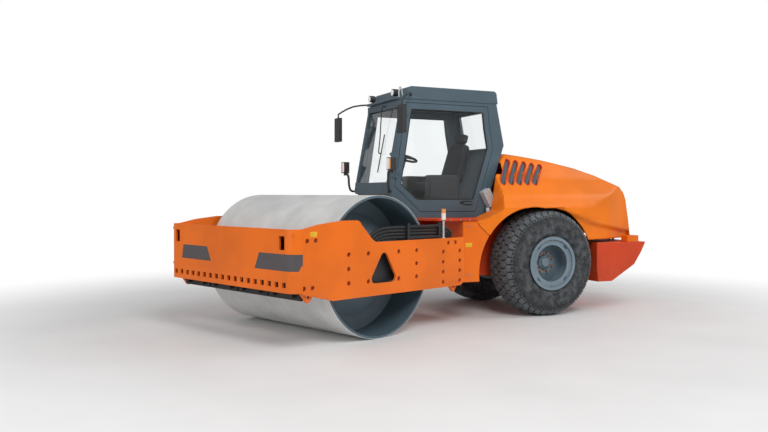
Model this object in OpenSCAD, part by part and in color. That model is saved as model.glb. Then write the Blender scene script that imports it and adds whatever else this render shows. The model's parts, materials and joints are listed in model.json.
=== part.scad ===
// Single drum roller: a smooth steel drum in a front frame, joined to a rear frame
// with cab, hood and two driven wheels by a pivot that steers and oscillates.
// X points forward, Y to the left and Z up. The model stands steered to the left.
// Inside the modules x is counted from the steering pivot, along each frame's own axis.

/* [Drum] */
// Radius of the drum
drum_r = 800; // [760:5:840]
// Width of the drum
drum_w = 2220; // [1900:10:2400]
// Thickness of the drum's shell
drum_shell_t = 30; // [20:1:45]
// Depth from the drum's edge to its dished head
drum_head_in = 330; // [250:10:450]
// Distance from the steering pivot to the drum's axis
drum_x = 1620; // [1580:5:1700]
// Radius of the drum's stub axles
stub_r = 90; // [60:1:120]

/* [Front frame] */
// Angle at which the front frame stands steered to the left
steer_rest = 21; // [0:1:30]
// Thickness of the side plates
plate_t = 30; // [20:1:40]
// Gap between the drum's end and the side plate
plate_gap = 55; // [40:1:80]
// Height of the side plates' lower edge
plate_z0 = 500; // [450:5:560]
// Height of the side plates' upper edge behind the drum's axis
plate_z1 = 1088; // [1000:2:1100]
// Height of the side plates' raised front part
plate_z2 = 1330; // [1250:5:1360]
// Reach of the front sheet ahead of the drum's axis
front_reach = 1283; // [1220:1:1330]
// Radius of the front sheet's corners
front_corner_r = 126; // [80:1:160]
// Number of square slots along the foot of the front sheet
slot_n = 18; // [10:1:20]

/* [Steering joint] */
// Height of the oscillation axis
osc_z = 750; // [720:5:780]
// Radius of the oscillation shaft
osc_r = 110; // [90:1:130]
// Radius of the vertical steering pins
pin_r = 50; // [35:1:60]
// Half height of the rear frame's tongue between the knuckle's lugs
tongue_h = 110; // [80:1:130]
// Distance of each steering cylinder's eye from the pivot
eye_arm = 300; // [260:5:320]
// Distance from the pivot back to the cylinders' rear pins
cyl_back = 720; // [680:5:760]

/* [Rear frame] */
// Distance from the steering pivot back to the rear axle
axle_back = 1630; // [1600:5:1700]
// Radius of the tyres over the tread
tyre_r = 705; // [690:1:735]
// Width of the tyres
tyre_w = 575; // [540:1:600]
// Half of the track, pivot line to the tyre's middle
track_half = 790; // [770:1:830]
// Radius of the rim's flange
rim_r = 356; // [330:1:380]
// Height of the deck's upper face
deck_z = 1310; // [1305:1:1330]
// Half width of the deck
deck_half = 1015; // [980:5:1020]
// Reach of the counterweight behind the pivot
tail_back = 3300; // [3260:5:3400]
// Half width of the counterweight
tail_half = 950; // [900:5:1000]
// Half width of the side boxes ahead of the rear wheels
box_half = 1000; // [960:5:1010]

/* [Cab] */
// Half width of the cab over its side walls
cab_half = 550; // [530:5:600]
// Height of the cab's roof
roof_z = 3000; // [2950:5:3050]
// Thickness of the cab's side walls and doors
wall_t = 50; // [40:1:60]
// Thickness of the glass
glass_t = 6; // [5:1:10]

/* [Hood] */
// Half width of the hood's top
hood_top_half = 540; // [480:5:600]
// Half width of the hood over the wheels
hood_half = 1000; // [960:5:1030]
// Thickness of the hood's skin
hood_t = 14; // [10:1:20]
// Number of slanted louvres on each side
louvre_n = 5; // [3:1:5]

/* [Hidden] */
$fn = 96;

// Gap left where a piece lies against its neighbour
lie = 0.3;
// Radial clearance of a shaft that runs in a bore
run = 0.05;

plate_in = drum_w / 2 + plate_gap;
plate_out = plate_in + plate_t;
front_x = drum_x + front_reach;
corner_x = front_x - front_corner_r;

// Place of the box's middle, so that the origin lies under the middle of the standing machine
reach_x = (front_x - front_corner_r) * cos(steer_rest) + (plate_out - front_corner_r) * sin(steer_rest)
          + front_corner_r;
reach_y = (front_x - front_corner_r) * sin(steer_rest) + (plate_out - front_corner_r) * cos(steer_rest)
          + front_corner_r;
reach_right = track_half + tyre_w / 2;
org_x = -(reach_x - tail_back) / 2;
org_y = -(reach_y - reach_right) / 2;

module rear_frame() translate([org_x, org_y, 0]) children();
module front_frame() translate([org_x, org_y, 0]) rotate([0, 0, steer_rest]) children();
module both_sides() { children(); mirror([0, 1, 0]) children(); }
module side_of(left) mirror([0, left ? 0 : 1, 0]) children();

// A profile in x and z, from y0 on for a width of w
module across(y0, w) translate([0, y0 + w, 0]) rotate([90, 0, 0]) linear_extrude(w) children();
// A profile in y and z, from x0 on for a length of l
module along(x0, l) translate([x0, 0, 0]) rotate([90, 0, 90]) linear_extrude(l) children();
// A box from its lowest and highest corner
module block(a, b) translate(a) cube(b - a);
module rod_y(r, p, l) translate(p) rotate([-90, 0, 0]) cylinder(r = r, h = l);
module rod_x(r, p, l) translate(p) rotate([0, 90, 0]) cylinder(r = r, h = l);
// A round bar between two points
module bar(a, b, r) {
    d = b - a;
    translate(a) rotate([0, acos(d.z / norm(d)), atan2(d.y, d.x)]) cylinder(r = r, h = norm(d));
}

// Side plates

plate_rear = drum_x - 1377;
step_x = drum_x + 116;
step_rise_x = drum_x + 349;
// Bolt holes: x from the drum's axis, z
plate_holes = [[1100, 1135], [990, 1135], [1140, 655], [1030, 655],
               [536, 969], [536, 817], [536, 665], [250, 967], [250, 663], [-223, 967], [-223, 663],
               [-520, 967], [-520, 815], [-520, 663],
               for (i = [0 : 3]) [-990, 926 - i * 121], for (i = [0 : 3]) [-1297, 926 - i * 121],
               [-1082, 1030], [-1215, 1030]];
hole_r = 24;

module plate_outline() {
    polygon([[plate_rear, plate_z0 + 50], [plate_rear + 60, plate_z0], [drum_x + 760, plate_z0],
             [corner_x, plate_z0 + 96], [corner_x, plate_z2 - 76], [drum_x + 936, plate_z2 - 31],
             [drum_x + 640, plate_z2], [step_rise_x + 62, plate_z2], [step_rise_x + 20, plate_z2 - 18],
             [step_rise_x, plate_z2 - 50], [step_x + 80, plate_z1 + 38], [step_x + 40, plate_z1 + 8],
             [step_x, plate_z1], [plate_rear + 8, plate_z1], [plate_rear, plate_z1 - 8]]);
}
// The rounded triangular window under the hub
module plate_window() {
    translate([drum_x, osc_z + 33]) offset(r = 55, $fn = 32) offset(delta = -55)
        polygon([[5, 235], [245, -150], [-215, -150]]);
}
module side_plate(left) color("#F07A10") front_frame() side_of(left) across(plate_in, plate_t)
    difference() {
        plate_outline();
        plate_window();
        for (h = plate_holes) translate([drum_x + h[0], h[1]]) circle(r = hole_r, $fn = 24);
    }

// Front beam: the bent front sheet with its slots, and the box beam behind it

beam_z0 = 610;
beam_z1 = 1254;
beam_depth = 250;
sheet_t = 25;
slot_w = 62;
slot_h = 55;
slot_z = 690;
// Distance of the outermost slots from the side plates
slot_end = 120;
slot_step = 2 * (plate_in - slot_end) / (slot_n - 1);

corner_y = plate_out - front_corner_r;
beam_x0 = front_x - beam_depth;
module front_plan(inset) {
    translate([corner_x, -corner_y]) square([front_corner_r - inset, 2 * corner_y]);
    for (s = [-1, 1]) translate([corner_x, s * corner_y]) circle(r = front_corner_r - inset);
    translate([beam_x0, -plate_out + inset]) square([corner_x - beam_x0, 2 * (plate_out - inset)]);
}
module front_beam() color("#F07A10") front_frame() difference() {
    union() {
        // bent sheet
        translate([0, 0, beam_z0]) linear_extrude(beam_z1 - beam_z0) difference() {
            front_plan(0);
            front_plan(sheet_t);
            translate([0, -2 * plate_out]) square([corner_x + lie, 4 * plate_out]);
        }
        // box beam between the plates
        low = [beam_x0, -plate_in + lie, beam_z0 + 160];
        high = [front_x - sheet_t, plate_in - lie, beam_z1 - 40];
        block(low, [beam_x0 + sheet_t, high.y, high.z]);
        block([low.x, low.y, high.z - sheet_t], high);
        block(low, [high.x, high.y, low.z + sheet_t]);
    }
    for (i = [0 : slot_n - 1]) translate([0, i * slot_step - plate_in + slot_end, slot_z])
        block([front_x - sheet_t - 5, -slot_w / 2, -slot_h / 2], [front_x + 5, slot_w / 2, slot_h / 2]);
    // recesses for the lifting bolts
    both_sides() block([front_x - sheet_t - 5, plate_out - 230, beam_z1 - 210],
                       [front_x + 5, plate_out - 140, beam_z1 - 70]);
}

// Rear crossmember with the bearing of the oscillation shaft

cross_x0 = 360;
cross_x1 = 560;
cross_z0 = 560;
cross_z1 = 1050;
cross_wall = 25;
bearing_r = osc_r + 60;
module rear_crossmember() color("#F07A10") front_frame() difference() {
    union() {
        difference() {
            block([cross_x0, -plate_in + lie, cross_z0], [cross_x1, plate_in - lie, cross_z1]);
            block([cross_x0 + cross_wall, -plate_in - 1, cross_z0 + cross_wall],
                  [cross_x1 - cross_wall, plate_in + 1, cross_z1 - cross_wall]);
        }
        rod_x(bearing_r, [cross_x0 - 60, 0, osc_z], cross_x1 - cross_x0 + 80);
        for (y = [-260, 260 - cross_wall])
            block([cross_x0 + 1, y, cross_z0 + 1], [cross_x1 - 1, y + cross_wall, cross_z1 - 1]);
    }
    rod_x(osc_r + run, [cross_x0 - 61, 0, osc_z], cross_x1 - cross_x0 + 82);
}

// Drum and its carriers

head_y = drum_w / 2 - drum_head_in;
head_t = 30;
hub_r = 170;
hub_out = 130;
carrier_y = drum_w / 2 - 70;
module drum_shell() color("#C9CCC8") front_frame() translate([drum_x, 0, drum_r]) rotate([90, 0, 0])
    difference() {
        cylinder(r = drum_r, h = drum_w, center = true, $fn = 160);
        cylinder(r = drum_r - drum_shell_t, h = drum_w + 2, center = true, $fn = 160);
    }
// A dished head: flat centre, cone, and a flat ring at the shell
module drum_heads() color("#55626C") front_frame() translate([drum_x, 0, drum_r])
        both_sides() rotate([-90, 0, 0])
    rotate_extrude() polygon([[stub_r + run, head_y - head_t], [stub_r + run, head_y + hub_out],
        [hub_r, head_y + hub_out], [hub_r, head_y], [330, head_y], [600, head_y - 120],
        [drum_r - drum_shell_t - lie, head_y - 120], [drum_r - drum_shell_t - lie, head_y - 120 - head_t],
        [600 - 12, head_y - 120 - head_t], [330 - 12, head_y - head_t]]);
// Carrier: stub axle, flange and a bracket with rubber buffers to the side plate
module drum_carriers() color("#3A4248") front_frame() union() {
    both_sides() carrier();
    manifold();
}
module carrier() {
    rod_y(stub_r, [drum_x, head_y - head_t, drum_r], carrier_y - head_y + head_t + 5);
    rod_y(250, [drum_x, carrier_y, drum_r], 40);
    for (s = [-1, 1]) {
        block([drum_x + s * 390 - 190, carrier_y + 5, 640], [drum_x + s * 390 + 190, carrier_y + 35, 990]);
        for (z = [690, 940]) rod_y(55, [drum_x + s * 500, carrier_y + 30, z],
                plate_in - carrier_y - 30 - lie);
    }
}
// Hydraulic manifold on the left flange, where the hoses start
module manifold() block([drum_x + manifold_x - hose_n * hose_step, carrier_y + 35, manifold_z - 70],
                        [drum_x + manifold_x + 25, plate_in - 8, manifold_z]);

// Scraper bar under the front beam: brackets and blades

blade_n = 4;
blade_gap = 30;
module scraper_bar() color("#26292B") front_frame() {
    w = (2 * plate_in - 120 - (blade_n - 1) * blade_gap) / blade_n;
    union() {
        block([front_x - 215, -plate_in + lie, beam_z0 + 90],
                [front_x - 155, plate_in - lie, beam_z0 + 150]);
        for (i = [0 : blade_n - 1]) {
            y0 = -plate_in + 60 + i * (w + blade_gap);
            block([front_x - 200, y0, beam_z0 - 90], [front_x - 165, y0 + w, beam_z0 + 100]);
            for (y = [y0 + w * 0.2, y0 + w * 0.8])
                block([front_x - 166, y - 25, beam_z0 - 60], [front_x - 120, y + 25, beam_z0 + 100]);
        }
    }
}

// Lashing eyes: triangular loops at the lower corners
module eye_outline() difference() {
    offset(r = 18, $fn = 16) polygon([[0, 0], [150, 0], [75, -95]]);
    offset(r = 6, $fn = 16) polygon([[38, -14], [112, -14], [75, -64]]);
}
module lashing_eyes() color("#F07A10") front_frame() both_sides()
    for (x = [corner_x - 165, plate_rear + 90])
        across(plate_in - 40, 40 - lie) translate([x, x > drum_x ? plate_z0 + 115 : cross_z0 - 18 - lie])
                eye_outline();

// Hydraulic hoses: stacked in the gap beside the drum, from the manifold over the plate to the crossmember
hose_r = 17;
hose_n = 4;
hose_step = 38;
hose_y = plate_in - plate_gap / 2;
manifold_x = 210;
manifold_z = 1000;
// Route of the uppermost hose: x from the drum's axis, z
hose_route = [[manifold_x, manifold_z + lie], [manifold_x, 1060], [165, 1155], [60, 1212], [-90, 1234],
        [-260, 1236],
              [-420, 1232], [-700, 1230], [-920, 1226], [-1100, 1200], [-1190, 1135],
                      [-1190, cross_z1 + lie]];

// A point of the smooth curve through four neighbouring points of a route
function curve_at(a, b, c, d, t) = 0.5 * (2 * b + (c - a) * t + (2 * a - 5 * b + 4 * c - d) * t * t
                                          + (3 * b - a - 3 * c + d) * t * t * t);
// The first and the last stretch of a smooth route stay straight, so its ends lie flat on what they meet
function smooth(p, n) = let (e = len(p) - 1)
    [p[0], for (i = [1 : e - 2]) for (k = [0 : n - 1]) curve_at(p[i - 1], p[i], p[i + 1], p[i + 2], k / n),
     p[e - 1], p[e]];
// A tube of radius r swept along a route; side is a direction that the route never follows
module tube(route, r, sides = 10, side = [0, 1, 0]) {
    e = len(route) - 1;
    rings = [for (i = [0 : e])
        let (d = route[min(i + 1, e)] - route[max(i - 1, 0)], u = cross(side, d) / norm(cross(side, d)),
             v = cross(d, u) / norm(d))
            [for (k = [0 : sides - 1]) route[i] + r * (cos(360 * k / sides) * u + sin(360 * k / sides) * v)]];
    walls = [for (i = [0 : e - 1]) for (k = [0 : sides - 1])
        [i * sides + k, (i + 1) * sides + k, (i + 1) * sides + (k + 1) % sides,
                i * sides + (k + 1) % sides]];
    polyhedron([for (ring = rings) each ring],
               concat([[for (k = [0 : sides - 1]) k]],
                       walls, [[for (k = [sides - 1 : -1 : 0]) e * sides + k]]));
}
// The k-th hose runs below the first at an even distance, with its corners mitred
function normal_of(a, b) = [a.y - b.y, b.x - a.x] / norm(b - a);
function inward(p, i) =
    let (e = len(p) - 1, n1 = normal_of(p[max(i - 1, 0)], p[max(i, 1)]),
         n2 = normal_of(p[min(i, e - 1)], p[min(i + 1, e)]))
    (n1 + n2) / (1 + n1 * n2);
module hoses() color("#1B1D1F") front_frame() for (k = [0 : hose_n - 1])
    tube(smooth([for (i = [0 : len(hose_route) - 1])
            let (q = hose_route[i] + k * hose_step * inward(hose_route, i))
                 [drum_x + q.x, hose_y, q.y]], 2), hose_r);

// Two posts on the left plate's edge that the hoses are strapped to, with a rail over and under the hoses
clamp_x = [-944, -403];
clamp_w = 36;
clamp_z1 = 1280;
rail_h = 24;
module hose_clamps() color("#26292B") front_frame() translate([drum_x, 0, 0]) {
    for (x = clamp_x)
        block([x - clamp_w / 2, hose_y + hose_r + lie, plate_z1 + lie],
                [x + clamp_w / 2, plate_in + 10, clamp_z1]);
    for (z = [plate_z1 + 12, clamp_z1 - 2 * rail_h])
        block([clamp_x[0], plate_in, z], [clamp_x[1], plate_in + 8, z + rail_h]);
}

// Marker post on the left plate: foot, stem and a thicker head
post_x = -1004;
post_r = 12;
post_head_r = 26;
module marker_post() color("#B9BDBE") front_frame()
    translate([drum_x + post_x, plate_in + plate_t / 2, plate_z1 + lie]) {
        cylinder(r = plate_t / 2 + 5, h = 12);
        cylinder(r = post_r, h = 240);
        translate([0, 0, 220]) cylinder(r = post_head_r, h = 130);
    }

// Knuckle: oscillation shaft, web, and an upper and a lower lug for the steering pins

lug_r = 130;
lug_t = 70;
web_x0 = 190;
web_x1 = cross_x0 - 60 - 10;
web_half = 150;
module knuckle() color("#3A4248") front_frame() difference() {
    union() {
        rod_x(osc_r, [web_x0 + 10, 0, osc_z], cross_x1 - web_x0);
        block([web_x0, -web_half, osc_z - tongue_h - lug_t], [web_x1, web_half, osc_z + tongue_h + lug_t]);
        for (z = [osc_z - tongue_h - lug_t, osc_z + tongue_h]) translate([0, 0, z]) {
            cylinder(r = lug_r, h = lug_t);
            translate([0, -lug_r, 0]) cube([web_x0 + 10, 2 * lug_r, lug_t]);
        }
        // arms for the steering cylinders, on top of the upper lug
        translate([0, 0, osc_z + tongue_h + lug_t - 30]) {
            translate([-45, -eye_arm, 0]) cube([90, 2 * eye_arm, 30]);
            for (s = [-1, 1]) translate([0, s * eye_arm, 0]) cylinder(r = 55, h = 30);
        }
        translate([0, 0, osc_z - tongue_h - lug_t]) cylinder(r = pin_r, h = 2 * (tongue_h + lug_t));
    }
}

// Steering cylinders

cyl_z = osc_z + tongue_h + lug_t + 45;
cyl_r = 48;
rod_r = 25;
function eye_at(left) = let (a = steer_rest + (left ? 90 : -90)) [eye_arm * cos(a), eye_arm * sin(a)];
cyl_y = 270;
function rear_pin(left) = [-cyl_back, (left ? 1 : -1) * cyl_y];
function cyl_len(left) = norm(eye_at(left) - rear_pin(left));
function cyl_dir(left) = let (d = eye_at(left) - rear_pin(left)) atan2(d[1], d[0]);
barrel_l = 455;
eye_t = 60;
cyl_pin_r = 25;
pad_z0 = cyl_z - 110;
module steer_cylinder(left) translate([org_x, org_y, cyl_z]) translate(rear_pin(left))
    rotate([0, 0, cyl_dir(left)]) children();
module steer_barrel(left) color("#26292B") steer_cylinder(left) difference() {
    union() {
        rod_x(cyl_r, [40, 0, 0], barrel_l - 40);
        translate([0, 0, -eye_t / 2]) cylinder(r = 45, h = eye_t);
    }
    rod_x(rod_r + run, [60, 0, 0], barrel_l);
    translate([0, 0, -eye_t / 2 - 1]) cylinder(r = cyl_pin_r + run, h = eye_t + 2);
}
module steer_rod(left) color("#D5D8DA") steer_cylinder(left) union() {
    l = cyl_len(left);
    rod_x(rod_r, [l - 481, 0, 0], 441);
    translate([l, 0, -45 + lie]) cylinder(r = 45, h = 75);
}

// Rear frame

chassis_y = 400;
chassis_t = 30;
box_x0 = -300;
arch_x = -1392;
arch_z = 605;
arch_r = 847;
tyre_gap = 30;
// The opening round the wheel is longer ahead of it than behind
module arch_cut() {
    translate([arch_x, arch_z]) circle(r = arch_r, $fn = 120);
    translate([wheel_x, wheel_z]) circle(r = tyre_r + tyre_gap, $fn = 120);
}
frame_z0 = 500;
frame_z1 = deck_z - 30;
engine_x0 = -2650;
rail_z = 1000;

// Seam between the side box and the hood's foot: x, z
seam_pts = [[-520, 1275], [-535, 1225], [-760, 1030]];
seam_gap = 8;
deck_mid = 664;
deck_rear = -1000;

module chassis_frame() color("#E8641A") rear_frame() difference() {
    union() {
        both_sides() across(chassis_y, chassis_t)
                polygon([[-420, frame_z0 + 40], [-420, frame_z1], [-1180, frame_z1],
            [-1350, 1100], [tail_x0 + lie, rail_z], [tail_x0 + lie, 560], [-1950, 560], [-1850, 660],
                    [-1400, 660], [-1300, 500]]);
        // cross plates
        block([-650, -chassis_y - 5, frame_z0 + 60], [-620, chassis_y + 5, frame_z1]);
        block([-1280, -chassis_y - 5, frame_z0 + 10], [-1250, chassis_y + 5, frame_z1 - 5]);
        block([tail_x0 + lie, -chassis_y - 5, 600], [tail_x0 + lie + 30, chassis_y + 5, rail_z]);
        // tongue to the steering pins
        translate([0, 0, osc_z - tongue_h + lie]) cylinder(r = lug_r - 10, h = 2 * tongue_h - 2 * lie);
        block([-640, -105, osc_z - tongue_h + lie], [0, 105, osc_z + tongue_h - lie]);
        // pads and pins of the steering cylinders
        for (left = [true, false]) translate([rear_pin(left)[0], rear_pin(left)[1], 0]) {
            translate([0, 0, pad_z0]) cylinder(r = cyl_pin_r, h = cyl_z + eye_t / 2 + 15 - pad_z0);
            translate([0, 0, pad_z0]) cylinder(r = 34, h = cyl_z - eye_t / 2 - lie - pad_z0);
            translate([-60, left ? -60 : -chassis_y + cyl_y - 5, pad_z0])
                    cube([145, chassis_y - cyl_y + 65, cyl_z - cyl_r - 6 - pad_z0]);
        }
    }
    translate([0, 0, osc_z - tongue_h - 1]) cylinder(r = pin_r + run, h = 2 * tongue_h + 2);
    // windows for the cylinders and a saddle for the axle
    for (s = [-1, 1]) block([-660, s * cyl_y - 90, cyl_z - 75], [-610, s * cyl_y + 90, cyl_z + 75]);
    rod_y(axle_r + lie, [wheel_x, -chassis_y - 50, wheel_z], 2 * chassis_y + 100);
}

module side_box(left) color("#EE7614") rear_frame() side_of(left)
    across(chassis_y + chassis_t + lie, box_half - chassis_y - chassis_t - lie) difference() {
        polygon([[box_x0, frame_z0], [box_x0, frame_z1], [seam_pts[0].x + seam_gap, frame_z1],
                 seam_pts[1] + [seam_gap, 0], seam_pts[2] + [seam_gap, 0], [seam_pts[2].x, frame_z0]]);
        arch_cut();
    }

module deck() color("#D8431C") rear_frame() translate([0, 0, frame_z1 + lie])
        linear_extrude(deck_z - frame_z1 - lie)
    polygon([[160, deck_half - 110], [50, deck_half], [seam_pts[0].x + seam_gap, deck_half],
             [seam_pts[0].x + seam_gap, deck_mid], [deck_rear, deck_mid], [deck_rear, -deck_mid],
             [seam_pts[0].x + seam_gap, -deck_mid], [seam_pts[0].x + seam_gap, -deck_half], [50, -deck_half],
             [160, -deck_half + 110]]);

// Rear axle: beam, differential and planetary hubs
wheel_x = -axle_back;
wheel_z = tyre_r;
hub_face = track_half + 40;
hub_axle_r = 70;
axle_r = 115;
module rear_axle() color("#3A4248") rear_frame() union() {
    rod_y(axle_r, [wheel_x, -hub_face + 130, wheel_z], 2 * (hub_face - 130));
    translate([wheel_x, 0, wheel_z]) rotate([0, 90, 0]) cylinder(r = 210, h = 330, center = true);
    both_sides() {
        rod_y(190, [wheel_x, hub_face - 220, wheel_z], 90);
        rod_y(hub_axle_r, [wheel_x, hub_face - 140, wheel_z], 180);
        block([wheel_x - 130, 320, wheel_z - 100], [wheel_x + 130, chassis_y - lie, wheel_z + 130]);
    }
}

tail_z = 955;
tail_x0 = -2450;
hinge_x = -3240;
hinge_z = 978;
hinge_y = 300;
pocket_z = hinge_z - 45;
lug_half = 30;
fork_t = 18;
module counterweight() color("#D8401A") rear_frame() difference() {
    across(-tail_half, 2 * tail_half) polygon([[tail_x0, tail_z], [tail_x0, 600], [tail_x0 - 30, 415],
            [-2714, 415], [-3110, 640],
        [-3235, 820], [-tail_back, tail_z - 15], [-tail_back, tail_z]]);
    for (s = [-1, 1]) block([hinge_x - 30, s * hinge_y - 60, pocket_z],
            [hinge_x + 60, s * hinge_y + 60, tail_z + 1]);
}

// Forks of the hood's hinges, bolted into pockets of the counterweight
module hood_hinges() color("#26292B") rear_frame() for (s = [-1, 1]) translate([0, s * hinge_y, 0])
    for (y = [-lug_half - lie - fork_t, lug_half + lie]) {
        rod_y(16, [hinge_x, y, hinge_z], fork_t);
        block([hinge_x - 16, y, pocket_z + lie], [hinge_x + 16, y + fork_t, hinge_z]);
    }
module rear_lamps() color("#EE7614") rear_frame() both_sides()
    block([-3190, tail_half - 150, tail_z + lie], [-2990, tail_half - 10, tail_z + 90]);

module engine_block() color("#3A4248") rear_frame()
        block([engine_x0, -330, rail_z + lie], [-1400, 330, 1650]);

// Ribbed box of the cab's air intake, leaning against the cab's rear corner, with its hose down to the deck
intake_w = 110;
intake_h = 230;
intake_out = 110;
intake_at = [-1010, 1500];
intake_tilt = 30;
module air_intake() color("#AEB6BA") rear_frame() {
    translate([intake_at.x, cab_half + lie, intake_at.y]) rotate([0, intake_tilt, 0]) difference() {
        cube([intake_w, intake_out, intake_h]);
        for (x = [14 : 24 : intake_w - 20]) translate([x, intake_out - 12, -1]) cube([10, 13, intake_h + 2]);
    }
    translate([-900, cab_half + 60, deck_z + lie]) cylinder(r = 28, h = 130);
}

// Cab

// Height of the roof's cap over the walls
cap_h = 170;
wall_top = roof_z - cap_h;
pillar_x0 = 554;
pillar_z0 = 1666;
pillar_x1 = 340;
pillar_z1 = wall_top - 15;
sill_z = deck_z + lie;
screen_z0 = pillar_z0 + 100;
screen_z1 = pillar_z1 - 75;
// The cab's rear edge: x at the sill, at the window's foot and at the top
rear_sill_x = -820;
rear_bend_x = -1175;
rear_top_x = -1060;
// Rear window: x and z of its foot and its top
rear_glass = [[-1150, 2260], [-1050, wall_top - 90]];
rail_t = 40;
// Side view of the cab's wall: x, z
wall_pts = [[pillar_x0, pillar_z0 - 20], [150, sill_z], [rear_sill_x, sill_z], [-1000, 1744], [-1180, 2280],
            [-1120, wall_top - 275], [rear_top_x, wall_top], [pillar_x1, wall_top],
                    [pillar_x0, pillar_z0 + 10]];
// Door opening: x, z
door_low = sill_z + 75 - lie;
door_top = wall_top - 40;
door_pts = [[445, 1715], [75, door_low], [-745, door_low], [-1010, 2230], [-960, door_top - 290],
        [-925, door_top],
            [285, door_top]];
door_gap = 6;
module wall_outline() polygon(wall_pts);
module door_outline(inset) offset(delta = -inset) polygon(door_pts);

// Width of the posts beside the rear window
post_w = 110;
module cab_frame() color("#526571") rear_frame() union() {
    both_sides() across(cab_half - wall_t, wall_t) difference() {
        wall_outline();
        door_outline(0);
    }
    // front lower panel and top rail
    block([pillar_x0 - 46, -cab_half + 5, pillar_z0 - 50], [pillar_x0 - 6, cab_half - 5, screen_z0]);
    block([pillar_x1 - 10, -cab_half + 5, screen_z1], [pillar_x1 + 20, cab_half - 5, pillar_z1 + 10]);
    // rear wall below the window, rail above it and posts beside it
    across(-cab_half + 5, 2 * cab_half - 10)
        rear_strip([rear_sill_x - 5, sill_z], [rear_bend_x + rail_t, rear_glass[0].y]);
    across(-cab_half + 5, 2 * cab_half - 10)
        rear_strip([rear_glass[1].x + 15, rear_glass[1].y], [rear_top_x + rail_t - 2, wall_top - 5]);
    both_sides() across(cab_half - post_w, post_w)
        rear_strip([rear_bend_x + rail_t, rear_glass[0].y - 10], [rear_top_x + rail_t - 2, wall_top - 5]);
    both_sides() pillar_hinges();
}
// A sloping strip of the rear wall between two points of its inner face
module rear_strip(low, high) polygon([low, low - [rail_t, 0], high - [rail_t, 0], high]);
// The floor is flat under the seat and rises to the front from floor_x on
floor_x = 140;
floor_t = 30;
floor_top = [pillar_x0 - 60, pillar_z0 - 10];
function floor_at(x) = sill_z + floor_t + max(x - floor_x,
        0) * (floor_top.y - sill_z - floor_t) / (floor_top.x - floor_x);
module cab_floor() color("#33393D") rear_frame()
        across(-cab_half + wall_t + lie, 2 * (cab_half - wall_t - lie))
    polygon([[pillar_x0 - 47, pillar_z0 - 45], [floor_x + 10, sill_z], [-820, sill_z],
            [-820, sill_z + floor_t],
             [floor_x, sill_z + floor_t], floor_top]);
visor_x0 = 240;
visor_x1 = 395;
visor_z0 = roof_z - 100;
visor_z1 = roof_z - 135;
module cab_roof() color("#526571") rear_frame() union() {
    across(-cab_half - 10, 2 * cab_half + 20)
            polygon([[-1080, wall_top + lie], [-1060, roof_z - 30], [-1030, roof_z],
        [220, roof_z], [245, roof_z - 20], [300, wall_top + lie]]);
    across(-cab_half + 60, 2 * cab_half - 120)
            polygon([[visor_x0, wall_top + lie], [visor_x0, visor_z0], [visor_x1, visor_z1],
        [visor_x1 + 15, wall_top + 20], [visor_x1, wall_top + lie]]);
}
module windscreen() color("#22303A", 0.5) rear_frame()
        across(-cab_half + wall_t + lie, 2 * (cab_half - wall_t - lie))
    polygon([[pillar_x0 - 30, screen_z0 + lie], [pillar_x1 - 8, screen_z1 - lie],
             [pillar_x1 - 8 - glass_t, screen_z1 - lie], [pillar_x0 - 30 - glass_t, screen_z0 + lie]]);
module rear_window() color("#22303A", 0.5) rear_frame()
    across(-cab_half + post_w + lie, 2 * (cab_half - post_w - lie)) {
        low = rear_glass[0] + [0, lie];
        high = rear_glass[1] - [0, lie];
        polygon([low, high, high - [glass_t, 0], low - [glass_t, 0]]);
    }

module seat_piece() color("#2A2C2E") rear_frame() union() {
    block([-640, -190, sill_z + floor_t + lie], [-300, 190, sill_z + 330]);
    block([-720, -250, sill_z + 330], [-180, 250, sill_z + 450]);
    across(-240, 480) polygon([[-640, sill_z + 440], [-720, sill_z + 430], [-860, sill_z + 1000],
            [-780, sill_z + 1020]]);
}
module console() color("#33393D") rear_frame() both_sides()
    block([-560, 280, sill_z + floor_t + lie], [-120, 440, sill_z + 560]);
module steering_column() color("#26292B") rear_frame() union() {
    across(-70, 140) polygon([[160, floor_at(160) + lie], [330, floor_at(330) + lie], [230, sill_z + 420],
            [140, sill_z + 420]]);
    bar([200, 0, sill_z + 343], [60, 0, sill_z + 800], 45);
    translate([60, 0, sill_z + 800]) rotate([0, -17, 0]) {
        rotate_extrude() translate([180, 0]) circle(r = 16, $fn = 24);
        for (a = [0 : 120 : 240]) rotate([0, 0, a]) translate([0, -16, -8]) cube([180, 32, 16]);
        cylinder(r = 40, h = 30, center = true);
    }
}

mirror_h = 340;
module mirror_head() linear_extrude(mirror_h, center = true)
    offset(r = 15, $fn = 16) square([30, 150], center = true);
// Arms from the roof's side to the heads' tops
module mirror_on_arm(sign, head) {
    translate(head) mirror_head();
    start = [visor_x0, sign * (cab_half + 10 + lie), roof_z - 120];
    tube(smooth([start, start + [0, sign * 50, 0],
            [(start.x + head.x) / 2, (start.y + 3 * head.y) / 4, start.z - 5],
                 [head.x, head.y, head.z + mirror_h / 2 + 55],
                         [head.x, head.y, head.z + mirror_h / 2 + lie]], 3), 12, 10, [1, 1, 0]);
}
module mirrors() color("#33393D") rear_frame() {
    mirror_on_arm(1, [500, 880, 2540]);
    mirror_on_arm(-1, [620, -1030, 2540]);
}
// Two work lights on the visor, in front of the roof
light_y = 380;
light_r = 45;
module roof_lights() color("#26292B") rear_frame() both_sides() {
    x = visor_x1 - 35;
    z = visor_z1 + (visor_z0 - visor_z1) * (visor_x1 - x + 12) / (visor_x1 - visor_x0) + lie;
    translate([x, light_y, z]) cylinder(r = 12, h = 15);
    rod_x(light_r, [x - 30, light_y, z + 5 + light_r], 75);
}
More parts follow.
